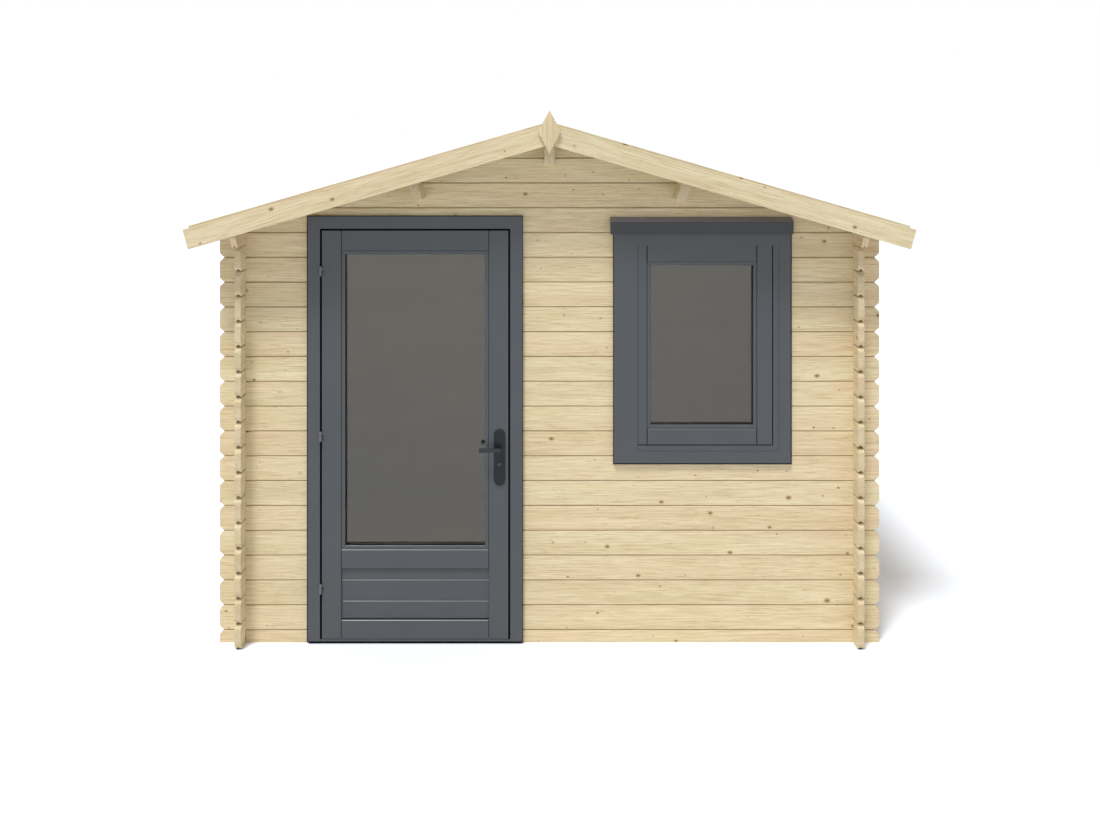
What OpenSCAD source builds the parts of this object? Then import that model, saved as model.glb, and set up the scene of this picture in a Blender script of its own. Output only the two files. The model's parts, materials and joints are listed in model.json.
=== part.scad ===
// Garden house of interlocking machined logs: gable front with a glazed door and a window.
// Millimetres, +Z up, +Y to the back. The origin is on the ground at the middle of the plan.

/* [Logs] */
// Length of the front and back logs, end to end
front_log_length = 3000; // [2700:10:3600]
// Length of the side logs, end to end
side_log_length = 2500; // [2000:10:3600]
// Thickness of a log
log_thickness = 28; // [24:1:34]
// Height that one course of logs adds
course_height = 113; // [108:0.5:118]
// Length of a log's end beyond the wall that it crosses
log_end_length = 90; // [70:1:130]
// Chamfer along each long edge, half of the V joint between two courses
log_chamfer = 4; // [2:0.5:6]
// Width of the groove under a log, at its mouth
groove_width = 10; // [6:0.5:12]
// Depth of the groove under a log
groove_depth = 9; // [6:0.5:12]
// How much the groove and the tongue narrow on each side
groove_taper = 1.2; // [0:0.1:2]
// Length cut off the corners of a log's end
end_cut_length = 21; // [10:1:30]
// Height cut off the corners of a log's end
end_cut_height = 24; // [10:1:35]
// Length of the steeper part of that cut, at the log's very end
end_turn_length = 2.5; // [1:0.5:5]
// Height of the steeper part of that cut
end_turn_height = 7; // [2:0.5:9]
// How far the eave logs run past the front and back walls as corbels
corbel_run = 178; // [140:1:190]
// Length of the slanting cut under a corbel's end
corbel_cut_length = 38; // [10:1:60]
// Height of the slanting cut under a corbel's end
corbel_cut_height = 45; // [10:1:60]

/* [Roof] */
// Number of full courses in a side wall below the eave log
side_courses = 16; // [16:1:17]
// Height of the eave log at the outer face of the side wall
eave_log_height = 134; // [110:1:150]
// Pitch of the roof in degrees
roof_pitch = 16.1; // [13:0.1:20]
// Thickness of the roof boards
roof_board_thickness = 16; // [14:1:24]
// How far the roof boards run past the front and back walls
roof_overhang = 200; // [195:1:260]
// How far the roof boards run past the side walls, level
eave_overhang = 169; // [120:1:220]
// Width of a purlin
purlin_width = 45; // [35:1:70]
// Height of the ridge purlin
ridge_purlin_height = 172; // [120:1:190]
// Height of a middle purlin, square to the roof
mid_purlin_height = 158; // [100:1:170]
// Distance of a middle purlin from the ridge, level, at the top of its middle
mid_purlin_offset = 627; // [560:1:760]
// Width of a barge board
barge_width = 90; // [70:1:120]
// Thickness of a barge board
barge_thickness = 18; // [14:1:28]
// How far the barge boards stay below the top of the roof boards
barge_drop = 9; // [4:0.5:14]
// How far the barge boards run past the ends of the roof boards
barge_run = 25; // [24:1:40]
// Thickness of an eave fascia
fascia_thickness = 20; // [14:1:22]
// Width of an eave fascia
fascia_width = 70; // [40:1:90]
// Height of the diamond at the ridge
finial_height = 194; // [120:1:260]
// Width of the diamond at the ridge
finial_width = 102; // [60:1:140]
// Thickness of the diamond at the ridge
finial_thickness = 18; // [12:1:28]
// How far the diamond's tip stands above the roof boards at the ridge
finial_rise = 50; // [20:1:80]

/* [Floor] */
// Thickness of the floor boards
floor_thickness = 18; // [14:1:19]

/* [Door] */
// Middle of the door, from the middle of the front wall
door_center = -609.5; // [-640:0.5:-560]
// Width of the door leaf
leaf_width = 845; // [760:1:900]
// Thickness of the door leaf
leaf_thickness = 40; // [36:1:42]
// How deep the door's head is let into the lintel log
lintel_cut = 42; // [20:1:60]
// Gap between the leaf and its frame at the sides and the top
leaf_gap = 8.5; // [6:0.5:12]
// Clear height under the leaf, above the threshold
threshold_gap = 5; // [5:0.5:10]
// Thickness of the threshold
threshold_height = 20; // [14:1:30]
// Width of the leaf's stiles
stile_width = 88; // [86:1:110]
// Height of the leaf's top rail
top_rail_height = 90; // [70:1:130]
// Height of the leaf's lock rail
lock_rail_height = 86; // [60:1:120]
// Height of the lock rail's lower edge
lock_rail_base = 342; // [300:1:500]
// Height of the leaf's bottom rail
bottom_rail_height = 83; // [60:1:150]
// Thickness of the boarded panel
panel_thickness = 15; // [12:1:18]
// How far the panel lies behind the leaf's front
panel_setback = 20; // [4:1:24]

/* [Frames and glazing] */
// Visible width of the casings round the door and the window
casing_width = 56; // [50:1:70]
// Thickness of the casings
casing_thickness = 20; // [18:1:26]
// Thickness of the frame between the logs' ends and the opening
jamb_thickness = 24; // [18:1:30]
// How far a door stop reaches behind the leaf
stop_overlap = 6; // [5:0.5:6]
// Clearance between the leaf's back and its stops
stop_clearance = 5; // [5:0.5:6]
// Width of the glazing beads
bead_width = 18; // [12:1:24]
// Thickness of the glazing beads
bead_thickness = 6; // [4:0.5:8]
// How far the beads lie behind the face of the stiles and rails
bead_setback = 3; // [0:0.5:5]
// Thickness of a pane
glass_thickness = 4; // [3:0.5:5]
// How far a pane lies behind the face of the stiles and rails
glass_setback = 30; // [24:0.5:31]

/* [Window] */
// Left edge of the window's casing, from the middle of the front wall
window_left = 292; // [260:1:320]
// Right edge of the window's casing, from the middle of the front wall
window_right = 1094; // [1060:1:1130]
// Number of courses below the window, with the half log on the ground
window_courses_below = 8; // [7:1:9]
// How far the casing laps over the log below the window
window_sill_lap = 28; // [20:1:36]
// How far the casing laps over the log above the window
window_head_lap = 14; // [8:1:22]
// Width of the window's casing
window_casing_width = 52; // [46:1:60]
// Width of the flat board left of the sash
window_left_width = 108; // [90:1:112]
// Width of the stepped inner edge right of the sash and below it
window_step_width = 29; // [20:1:32]
// Width of the stepped inner edge above the sash
window_head_step = 20; // [12:1:26]
// Depth of that step
window_step_depth = 3; // [2:0.5:6]
// Gap round the sash
sash_gap = 2.5; // [1:0.5:4]
// How far the window's stops reach behind the sash
sash_overlap = 8; // [5:0.5:12]
// Thickness of the sash
sash_thickness = 40; // [38:1:42]
// Width of the sash's left stile
sash_left_stile = 40; // [34:1:60]
// Width of the sash's right stile
sash_right_stile = 69; // [50:1:80]
// Height of the sash's top rail
sash_top_rail = 70; // [60:1:90]
// Height of the sash's bottom rail
sash_bottom_rail = 88; // [60:1:100]
// How far the drip board runs past the casing at each end
drip_run = 13; // [5:1:20]
// Height of the drip board
drip_height = 72; // [50:1:75]
// How far the drip board stands out from the logs
drip_depth = 48; // [42:1:70]
// Height of the slope along the drip board's upper edge
drip_slope = 20; // [8:1:30]
// Flat width of the drip board's upper edge against the logs
drip_flat = 4; // [2:1:10]
// How far the drip board's face leans back towards its lower edge
drip_lean = 8; // [0:1:12]
// How far the drip board laps down over the casing
drip_lap = 15; // [8:1:22]

/* [Hinges and handle] */
// Radius of a hinge's barrel
barrel_radius = 6.5; // [5.5:0.5:7]
// Height of a hinge's barrel
barrel_height = 44; // [36:1:60]
// Radius of a hinge's pin
hinge_pin_radius = 3.2; // [2.5:0.1:3.8]
// Radial clearance between a hinge's pin and its bore
hinge_pin_clearance = 0.05; // [0.02:0.01:0.1]
// Distance of the hinge axis in front of the leaf's face
barrel_offset = 11; // [10:0.5:12]
// Depth that a hinge's stem is drilled into the wood
stem_depth = 24; // [15:1:25]
// Radius of a hinge's stem
stem_radius = 3.2; // [2.5:0.1:3.4]
// Height of the lowest hinge's middle above the leaf's lower edge
low_hinge_rise = 228; // [120:1:400]
// Height of the middle hinge's middle above the leaf's lower edge
middle_hinge_rise = 918; // [700:1:1100]
// Distance of the highest hinge's middle below the leaf's upper edge
high_hinge_drop = 183; // [120:1:400]
// Height of the handle's spindle
spindle_height = 890; // [800:1:1100]
// Distance of the spindle from the leaf's edge
handle_backset = 39.5; // [39:0.5:43]
// Width of a handle plate
plate_width = 51; // [40:1:51]
// Height of a handle plate
plate_height = 254; // [210:1:300]
// Thickness of a handle plate
plate_thickness = 8; // [5:0.5:9]
// How far the handle plate reaches above the spindle
plate_rise = 84; // [60:1:110]
// Length of a lever from the spindle to its tip
lever_length = 90; // [70:1:130]
// Height of a lever's grip
lever_grip_height = 20; // [14:1:26]
// Thickness of a lever's grip
lever_grip_thickness = 12; // [10:1:18]
// Clear space between a handle plate and a lever's grip
lever_reach = 34; // [28:1:45]
// How far a lever's neck is sunk into the leaf
neck_sink = 5; // [3:0.5:8]
// Radius of a lever's neck
lever_neck_radius = 9; // [7:0.5:10]
// Radius of the spindle between the levers
spindle_radius = 5; // [4:0.5:6]
// Radial clearance of the levers' necks in their plates
neck_clearance = 0.1; // [0.05:0.01:0.1]
// Radius of the lock cylinder
cylinder_radius = 8.5; // [7:0.5:10]
// Distance of the lock cylinder below the spindle
cylinder_drop = 73; // [60:1:92]
// How far the lock cylinder stands out of a plate
cylinder_proud = 3; // [1:0.5:6]

/* [Clearances] */
// Joint between two fitted pieces of wood, metal or glass
fit_gap = 0.3; // [0.2:0.05:0.5]
// Play between the tip of a tongue and the bottom of its groove
tongue_play = 1; // [0.5:0.1:2]

/* [Hidden] */
SMALL = 1;
PADDING = 50;
CURVE = 48;
wood = "#dfcda4";
shaded_wood = "#cdb98f";
anthracite = "#5a5e62";
dark_trim = "#44484a";
hardware = "#3c3d41";
black_rubber = "#101112";
pane_tint = "#6a6762";

front_end = front_log_length / 2;
side_end = side_log_length / 2;
side_wall_x = front_end - log_end_length;
front_wall_y = side_end - log_end_length;
wall_mid_x = side_wall_x - log_thickness / 2;
wall_mid_y = front_wall_y - log_thickness / 2;
quarter = course_height / 4;
tongue_height = groove_depth - tongue_play;
tongue_width = groove_width - 2 * fit_gap;

// Courses of the front and back walls start with half a log, so their seams lie between
// those of the side walls.
eave_seam = side_courses * course_height;
lintel_seam = eave_seam + course_height / 2;
eave_height = eave_seam + eave_log_height;
ridge_height = eave_height + side_wall_x * tan(roof_pitch);
gable_first = side_courses + 2;
gable_last = round(ridge_height / course_height) - 1;
roof_end_y = front_wall_y + roof_overhang;
roof_eave_x = side_wall_x + eave_overhang;
roof_length = roof_eave_x / cos(roof_pitch);
board_rise = roof_board_thickness / cos(roof_pitch);
barge_face_y = roof_end_y + fit_gap + barge_thickness;

frame_depth = log_thickness + 2 * casing_thickness;
frame_front_y = -front_wall_y - casing_thickness;
frame_back_y = frame_front_y + frame_depth;
leaf_left = door_center - leaf_width / 2;
leaf_right = door_center + leaf_width / 2;
leaf_base = threshold_height + threshold_gap;
door_jamb_left = leaf_left - leaf_gap;
door_jamb_right = leaf_right + leaf_gap;
door_cut_left = door_jamb_left - jamb_thickness;
door_cut_right = door_jamb_right + jamb_thickness;
door_cut_top = lintel_seam + lintel_cut;
door_jamb_top = door_cut_top - jamb_thickness;
leaf_top = door_jamb_top - leaf_gap;
stop_width = leaf_gap + stop_overlap;
stop_y = frame_front_y + leaf_thickness + stop_clearance;
glazing_left = leaf_left + stile_width;
glazing_right = leaf_right - stile_width;
glazing_base = lock_rail_base + lock_rail_height;
glazing_top = leaf_top - top_rail_height;
panel_base = leaf_base + bottom_rail_height;

window_cut_base = (window_courses_below - 0.5) * course_height;
window_cut_top = lintel_seam;
window_base = window_cut_base - window_sill_lap;
window_top = window_cut_top + window_head_lap;
window_cut_left = window_left + window_casing_width - jamb_thickness;
window_cut_right = window_right - window_casing_width + jamb_thickness;
window_side_width = window_casing_width + window_step_width;
window_head_width = window_casing_width + window_head_step;
sash_left = window_left + window_left_width + sash_gap;
sash_right = window_right - window_side_width - sash_gap;
sash_base = window_base + window_side_width + sash_gap;
sash_top = window_top - window_head_width - sash_gap;
sash_face_y = frame_front_y + window_step_depth;
sash_back_y = sash_face_y + sash_thickness;
pane_left = sash_left + sash_left_stile;
pane_right = sash_right - sash_right_stile;
pane_base = sash_base + sash_bottom_rail;
pane_top = sash_top - sash_top_rail;

hinge_heights = [leaf_base + low_hinge_rise, leaf_base + middle_hinge_rise, leaf_top - high_hinge_drop];
hinge_x = leaf_left - leaf_gap / 2;
hinge_y = frame_front_y - barrel_offset;
handle_x = leaf_right - handle_backset;
leaf_mid_y = frame_front_y + leaf_thickness / 2;
plate_back = leaf_thickness / 2 + fit_gap;
plate_face = plate_back + plate_thickness;
plate_base = spindle_height + plate_rise - plate_height;

// ---- Shared shapes ----

// A box between two corners
module block(low, high) {
    translate(low) cube(high - low);
}

// An outline in the X-Z plane, drawn right through the object along Y
module through_y(depth) {
    rotate([90, 0, 0]) linear_extrude(depth, center = true) children();
}

function roof_z(x) = ridge_height - abs(x) * tan(roof_pitch);

// All that lies below the roof boards
module under_roof() {
    reach = front_end + PADDING;
    translate([0, 0, -fit_gap]) through_y(2 * (roof_end_y + PADDING))
        polygon([[-reach, 0], [reach, 0], [reach, roof_z(reach)], [0, ridge_height],
                 [-reach, roof_z(reach)]]);
}

// ---- Logs ----

// Cross-section of a log between two seams, with its tongue, its groove and the V chamfers
function log_section(base, top, sawn) =
    let (
        side = log_thickness / 2,
        inner = side - log_chamfer,
        mouth = groove_width / 2,
        root = tongue_width / 2,
        foot = sawn
            ? [[-side, base], [side, base]]
            : [[-side, base + log_chamfer], [-inner, base],
               [-mouth, base], [-mouth + groove_taper, base + groove_depth],
               [mouth - groove_taper, base + groove_depth], [mouth, base],
               [inner, base], [side, base + log_chamfer]],
        head = [[side, top - log_chamfer], [inner, top],
                [root, top], [root - groove_taper, top + tongue_height],
                [-root + groove_taper, top + tongue_height], [-root, top],
                [-inner, top], [-side, top - log_chamfer]]
    ) concat(foot, head);

// One end of a log seen from the side, from its foot to its head. The log comes from behind
// and ends at tip. Its corners are cut, and it is notched for the log that it crosses from
// notch_low down and from notch_high up.
function crossed_end(tip, base, top, notch_low, notch_high, sawn) =
    let (
        way = sign(tip),
        crown = top + groove_depth,
        notch_in = tip - way * (log_end_length + log_thickness + fit_gap),
        notch_out = tip - way * (log_end_length - fit_gap),
        cut = tip - way * end_cut_length,
        turn = tip - way * end_turn_length,
        turn_rise = end_cut_height - end_turn_height,
        foot = sawn
            ? [[tip, base]]
            : [[notch_in, base], [notch_in, notch_low], [notch_out, notch_low], [notch_out, base],
               [cut, base], [turn, base + turn_rise], [tip, base + end_cut_height]],
        head = [[tip, top - end_cut_height], [turn, top - turn_rise], [cut, top], [cut, crown]],
        notch = notch_high < top
            ? [[notch_out, crown], [notch_out, notch_high], [notch_in, notch_high], [notch_in, crown]]
            : []
    ) concat(foot, head, notch);

// A square end in a frame
function plain_end(tip, base, top) = [[tip, base], [tip, top + groove_depth]];

function reversed(points) = [for (i = [len(points) - 1 : -1 : 0]) points[i]];

// A log along X: the section swept from one end to the other, kept inside its side view
module log_body(left, right, base, top, sawn, side_view) {
    intersection() {
        translate([left, 0, 0]) rotate([90, 0, 90])
            linear_extrude(right - left) polygon(log_section(base, top, sawn));
        through_y(log_thickness + 2 * SMALL) polygon(side_view);
    }
}

function course_base(low_seam) = low_seam > 0 ? low_seam + fit_gap / 2 : 0;

// A log along X between two seams. Each end either crosses a side wall or stands in a frame.
module log(left, right, low_seam, high_seam, notch_low, notch_high, left_crossed, right_crossed,
           sawn = false) {
    base = course_base(low_seam);
    top = high_seam - fit_gap / 2;
    low = notch_low + fit_gap / 2;
    high = notch_high - fit_gap / 2;
    right_end = right_crossed ? crossed_end(right, base, top, low, high, sawn) : plain_end(right, base, top);
    left_end = left_crossed ? crossed_end(left, base, top, low, high, sawn) : plain_end(left, base, top);
    log_body(left, right, base, top, sawn, concat(right_end, reversed(left_end)));
}

// Course number k of the front or back wall: 0 is the half log on the ground
module cross_course(k, left, right, left_crossed = true, right_crossed = true) {
    middle = k * course_height;
    seam = middle - course_height / 2;
    log(left, right, max(seam, 0), seam + course_height, middle - quarter, middle + quarter,
        left_crossed, right_crossed, sawn = k == 0);
}

// Courses first to last of the front wall
module front_courses(first, last, left, right, left_crossed, right_crossed) {
    translate([0, -wall_mid_y, 0])
        for (k = [first : last]) cross_course(k, left, right, left_crossed, right_crossed);
}

module front_wall_left() {
    color(wood)
        front_courses(0, side_courses, -front_end, door_cut_left - fit_gap, true, false);
}

// The highest log below the window loses its tongue where the window's frame stands on it
module front_wall_below_window() {
    color(wood) difference() {
        front_courses(0, window_courses_below - 1, door_cut_right + fit_gap, front_end, false, true);
        block([window_cut_left - fit_gap, -front_wall_y - SMALL, window_cut_base - fit_gap / 2],
              [window_cut_right + fit_gap, -front_wall_y + log_thickness + SMALL,
               window_cut_base + course_height / 2]);
    }
}

module front_wall_middle() {
    color(wood)
        front_courses(window_courses_below, side_courses, door_cut_right + fit_gap,
                      window_cut_left - fit_gap, false, false);
}

module front_wall_right() {
    color(wood)
        front_courses(window_courses_below, side_courses, window_cut_right + fit_gap, front_end, false, true);
}

// The first log over the door and the window, cut out for the door's head
module front_lintel_log() {
    color(shaded_wood) difference() {
        eave_course(-wall_mid_y);
        block([door_cut_left - fit_gap, -front_wall_y - SMALL, lintel_seam - course_height],
              [door_cut_right + fit_gap, -front_wall_y + log_thickness + SMALL, door_cut_top + fit_gap]);
    }
}

// The course at the eaves: it lies over the eave logs, and the roof cuts its ends
module eave_course(y) {
    intersection() {
        translate([0, y, 0])
            log(-front_end, front_end, lintel_seam, lintel_seam + course_height,
                eave_seam + 3 * quarter, ridge_height, true, true);
        under_roof();
    }
}

// Holes for the three purlins in a gable
module purlin_holes() {
    ridge_bar(fit_gap);
    for (side = [-1, 1]) mid_bar(side, fit_gap);
}

// The logs of a gable, cut to the roof and round the purlins
module gable(y) {
    difference() {
        intersection() {
            translate([0, y, 0]) for (k = [gable_first : gable_last]) gable_course(k);
            under_roof();
        }
        purlin_holes();
    }
}

// A gable log: the last one reaches the ridge
module gable_course(k) {
    seam = (k - 0.5) * course_height;
    top = k == gable_last ? ridge_height : seam + course_height;
    log(-side_wall_x, side_wall_x, seam, top, 0, 0, false, false);
}

module front_gable() {
    color(shaded_wood) gable(-wall_mid_y);
}

module back_gable() {
    color(shaded_wood) gable(wall_mid_y);
}

module back_wall() {
    color(wood) {
        translate([0, wall_mid_y, 0])
            for (k = [0 : side_courses]) cross_course(k, -front_end, front_end);
        eave_course(wall_mid_y);
    }
}

// The courses of a side wall below its eave log
module side_wall(x) {
    translate([x, 0, 0]) rotate([0, 0, 90])
        for (k = [0 : side_courses - 1]) {
            seam = k * course_height;
            log(-side_end, side_end, seam, seam + course_height, seam + quarter,
                seam + 3 * quarter, true, true);
        }
}

module left_wall() {
    color(wood) side_wall(-wall_mid_x);
}

module right_wall() {
    color(wood) side_wall(wall_mid_x);
}

// One end of an eave log: a corbel with a slanting cut underneath
function corbel_end(way, base, top) =
    let (
        tip = way * (front_wall_y + corbel_run),
        notch_out = way * (front_wall_y + fit_gap),
        notch_in = way * (front_wall_y - log_thickness - fit_gap),
        low = eave_seam + quarter + fit_gap / 2,
        high = eave_seam + 3 * quarter - fit_gap / 2
    ) [[notch_in, base], [notch_in, low], [notch_out, low], [notch_out, base],
       [tip - way * corbel_cut_length, base], [tip, base + corbel_cut_height],
       [tip, top], [notch_out, top], [notch_out, high], [notch_in, high], [notch_in, top]];

// The highest log of a side wall: it carries the roof and runs out as corbels
module eave_log(side) {
    base = course_base(eave_seam);
    top = roof_z(side_wall_x - log_thickness) + PADDING;
    reach = front_wall_y + corbel_run;
    intersection() {
        translate([side * wall_mid_x, 0, 0]) rotate([0, 0, 90])
            log_body(-reach, reach, base, top, false,
                     concat(corbel_end(1, base, top), reversed(corbel_end(-1, base, top))));
        under_roof();
    }
}

module left_eave_log() {
    color(wood) eave_log(-1);
}

module right_eave_log() {
    color(wood) eave_log(1);
}

// ---- Floor ----

module floor_boards() {
    half_x = side_wall_x - log_thickness - fit_gap;
    half_y = front_wall_y - log_thickness - fit_gap;
    color(wood) difference() {
        block([-half_x, -half_y, 0], [half_x, half_y, floor_thickness]);
        // round the inner casings and the threshold
        block([door_jamb_left - casing_width - fit_gap, -half_y - SMALL, -SMALL],
              [door_jamb_right + casing_width + fit_gap, frame_back_y + fit_gap, floor_thickness + SMALL]);
    }
}

// ---- Roof ----

// Places children in the plane of one roof slope: X runs down the slope from the ridge, and
// Z is square to the boards, with 0 at their underside
module on_slope(side) {
    mirror([side < 0 ? 1 : 0, 0, 0])
        translate([0, 0, ridge_height]) rotate([0, roof_pitch, 0]) children();
}

// The ridge purlin before its top is bevelled, grown all round by a clearance
module ridge_bar(grow) {
    half = purlin_width / 2 + grow;
    block([-half, -roof_end_y + fit_gap, ridge_height - ridge_purlin_height - grow],
          [half, roof_end_y - fit_gap, ridge_height]);
}

module ridge_purlin() {
    color(shaded_wood) intersection() {
        ridge_bar(0);
        under_roof();
    }
}

// A middle purlin, grown all round by a clearance
module mid_bar(side, grow) {
    middle = mid_purlin_offset / cos(roof_pitch);
    half = purlin_width / 2 + grow;
    on_slope(side)
        block([middle - half, -roof_end_y + fit_gap, -fit_gap - mid_purlin_height - grow],
              [middle + half, roof_end_y - fit_gap, -fit_gap + grow]);
}

module left_purlin() {
    color(shaded_wood) mid_bar(-1, 0);
}

module right_purlin() {
    color(shaded_wood) mid_bar(1, 0);
}

// One slope of roof boards, mitred at the ridge
module roof_boards(side) {
    color(wood) difference() {
        on_slope(side)
            block([-PADDING, -roof_end_y, 0], [roof_length, roof_end_y, roof_board_thickness]);
        translate([side < 0 ? -fit_gap / 2 : fit_gap / 2 - PADDING * 2, -roof_end_y - SMALL, 0])
            cube([PADDING * 2, 2 * roof_end_y + 2 * SMALL, 2 * ridge_height]);
    }
}

module left_roof_boards() {
    roof_boards(-1);
}

module right_roof_boards() {
    roof_boards(1);
}

// The boards along the lower ends of the roof boards
module eave_fascias() {
    top = roof_board_thickness - barge_drop;
    color(wood) for (side = [-1, 1]) on_slope(side)
        block([roof_length + fit_gap, -roof_end_y, top - fascia_width],
              [roof_length + fit_gap + fascia_thickness, roof_end_y, top]);
}

// The two barge boards of one gable, mitred at the ridge
module barge_pair(way) {
    low_y = way > 0 ? roof_end_y + fit_gap : -barge_face_y;
    top = roof_board_thickness - barge_drop;
    color(wood) for (side = [-1, 1]) difference() {
        on_slope(side)
            block([-PADDING, low_y, top - barge_width],
                  [roof_length + barge_run, low_y + barge_thickness, top]);
        translate([side < 0 ? -fit_gap / 2 : fit_gap / 2 - PADDING * 3, low_y - SMALL, 0])
            cube([PADDING * 3, barge_thickness + 2 * SMALL, 2 * ridge_height]);
    }
}

module front_barge_boards() {
    barge_pair(-1);
}

module back_barge_boards() {
    barge_pair(1);
}

// The diamonds over the mitres of the barge boards
module finials() {
    tip = ridge_height + board_rise + finial_rise;
    middle = tip - finial_height / 2;
    color(wood) for (way = [-1, 1])
        translate([0, way * (barge_face_y + fit_gap + finial_thickness / 2), middle])
            through_y(finial_thickness)
                polygon([[0, -finial_height / 2], [finial_width / 2, 0], [0, finial_height / 2],
                         [-finial_width / 2, 0]]);
}

// ---- Frames ----

// Section of a frame that wraps the ends of the logs: X runs from the outer edge of the
// casing towards the opening, Y is the depth from the middle of the wall
module frame_section(width, jamb) {
    channel = log_thickness / 2 + fit_gap;
    difference() {
        translate([0, -frame_depth / 2]) square([width, frame_depth]);
        translate([-SMALL, -channel]) square([width - jamb + SMALL, 2 * channel]);
    }
}

// Where the head or the sill of a frame laps over the logs beyond the cut in the wall: only
// its casings run on there
module beyond_cut(left, right, cut_left, cut_right, base, top) {
    channel = log_thickness / 2 + fit_gap;
    for (span = [[left - SMALL, cut_left], [cut_right, right + SMALL]])
        block([span[0], -wall_mid_y - channel, base - SMALL],
              [span[1], -wall_mid_y + channel, top + SMALL]);
}

// A stop behind the leaf, in the same section
module stop_section(width) {
    stop_depth = frame_back_y - stop_y;
    translate([width - SMALL, frame_depth / 2 - stop_depth]) square([stop_width + SMALL, stop_depth]);
}

// A post of the door frame: the stop stands on the threshold
module door_post() {
    stop_base = threshold_height + fit_gap;
    linear_extrude(door_jamb_top - fit_gap) frame_section(casing_width, jamb_thickness);
    translate([0, 0, stop_base]) linear_extrude(door_jamb_top - fit_gap - stop_base)
        stop_section(casing_width);
}

module door_post_left() {
    color(anthracite) difference() {
        translate([door_jamb_left - casing_width, -wall_mid_y, 0]) door_post();
        for (z = hinge_heights) hinge_stem(-1, z, stem_radius + fit_gap);
    }
}

module door_post_right() {
    color(anthracite) translate([door_jamb_right + casing_width, -wall_mid_y, 0])
        mirror([1, 0, 0]) door_post();
}

module door_head() {
    left = door_jamb_left - casing_width;
    right = door_jamb_right + casing_width;
    stop_left = door_jamb_left + stop_width + fit_gap;
    stop_right = door_jamb_right - stop_width - fit_gap;
    top = door_jamb_top + casing_width;
    color(anthracite) {
        difference() {
            translate([left, -wall_mid_y, top]) rotate([0, 90, 0])
                linear_extrude(right - left) frame_section(casing_width, jamb_thickness);
            beyond_cut(left, right, door_cut_left, door_cut_right, door_jamb_top, top);
        }
        translate([stop_left, -wall_mid_y, top]) rotate([0, 90, 0])
            linear_extrude(stop_right - stop_left) stop_section(casing_width);
    }
}

module door_threshold() {
    color(dark_trim)
        block([door_jamb_left + fit_gap, frame_front_y, 0],
              [door_jamb_right - fit_gap, frame_back_y, threshold_height]);
}

// The shallow step round the sash, cut from the face of the window's frame
module window_step() {
    block([window_left + window_left_width, frame_front_y - SMALL, window_base + window_casing_width],
          [window_right - window_casing_width, frame_front_y + window_step_depth,
           window_top - window_casing_width]);
}

// One side of the stops that the sash bears against, between two corners seen from the front
module sash_stop(low_x, high_x, low_z, high_z) {
    block([low_x, sash_back_y + fit_gap, low_z], [high_x, frame_back_y, high_z]);
}

module window_posts() {
    base = sash_base - sash_gap + fit_gap;
    top = sash_top + sash_gap - fit_gap;
    inner = jamb_thickness - window_casing_width;
    color(anthracite) {
        difference() {
            translate([0, -wall_mid_y, base]) {
                translate([window_left, 0, 0]) linear_extrude(top - base)
                    frame_section(window_left_width, window_left_width + inner);
                translate([window_right, 0, 0]) mirror([1, 0, 0]) linear_extrude(top - base)
                    frame_section(window_side_width, window_side_width + inner);
            }
            window_step();
        }
        sash_stop(sash_left - sash_gap - SMALL, sash_left + sash_overlap, base, top);
        sash_stop(sash_right - sash_overlap, sash_right + sash_gap + SMALL, base, top);
    }
}

// The stop between those of the two posts
module cross_stop(low_z, high_z) {
    sash_stop(sash_left + sash_overlap + fit_gap, sash_right - sash_overlap - fit_gap, low_z, high_z);
}

module window_head() {
    color(anthracite) {
        difference() {
            translate([window_left, -wall_mid_y, window_top]) rotate([0, 90, 0])
                linear_extrude(window_right - window_left)
                    frame_section(window_head_width, window_head_width - window_head_lap - fit_gap);
            beyond_cut(window_left, window_right, window_cut_left, window_cut_right,
                       window_top - window_head_width, window_top);
            window_step();
        }
        cross_stop(sash_top - sash_overlap, sash_top + sash_gap + SMALL);
    }
}

module window_sill() {
    color(anthracite) {
        difference() {
            translate([window_left, -wall_mid_y, window_base]) mirror([0, 0, 1]) rotate([0, 90, 0])
                linear_extrude(window_right - window_left)
                    frame_section(window_side_width, window_side_width - window_sill_lap - fit_gap);
            beyond_cut(window_left, window_right, window_cut_left, window_cut_right,
                       window_base, window_base + window_side_width);
            window_step();
        }
        cross_stop(sash_base - sash_gap - SMALL, sash_base + sash_overlap);
    }
}

module window_drip_board() {
    back = -front_wall_y - fit_gap;
    lap_back = frame_front_y - fit_gap;
    face = -front_wall_y - drip_depth;
    base = window_top - drip_lap;
    top = base + drip_height;
    color(dark_trim) translate([window_left - drip_run, 0, 0]) rotate([90, 0, 90])
        linear_extrude(window_right - window_left + 2 * drip_run)
            polygon([[lap_back, base], [lap_back, window_top + fit_gap], [back, window_top + fit_gap],
                     [back, top], [back - drip_flat, top], [face, top - drip_slope],
                     [face + drip_lean, base]]);
}

// ---- Glazing ----

// A flat ring round a pane, between two depths behind the face
module ring(left, right, base, top, front, back) {
    difference() {
        block([left + fit_gap, front, base + fit_gap], [right - fit_gap, back, top - fit_gap]);
        block([left + bead_width, front - SMALL, base + bead_width],
              [right - bead_width, back + SMALL, top - bead_width]);
    }
}

// The outer and the inner beads of a pane in wood whose face is at face_y
module bead_rings(left, right, base, top, face_y, thickness) {
    pane_back = glass_setback + glass_thickness;
    outer = face_y + bead_setback;
    ring(left, right, base, top, outer, outer + bead_thickness);
    ring(left, right, base, top, face_y + pane_back + fit_gap, face_y + thickness);
}

// The rubber between the outer beads and the pane
module gasket_ring(left, right, base, top, face_y) {
    ring(left, right, base, top, face_y + bead_setback + bead_thickness + fit_gap,
         face_y + glass_setback - fit_gap);
}

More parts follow.
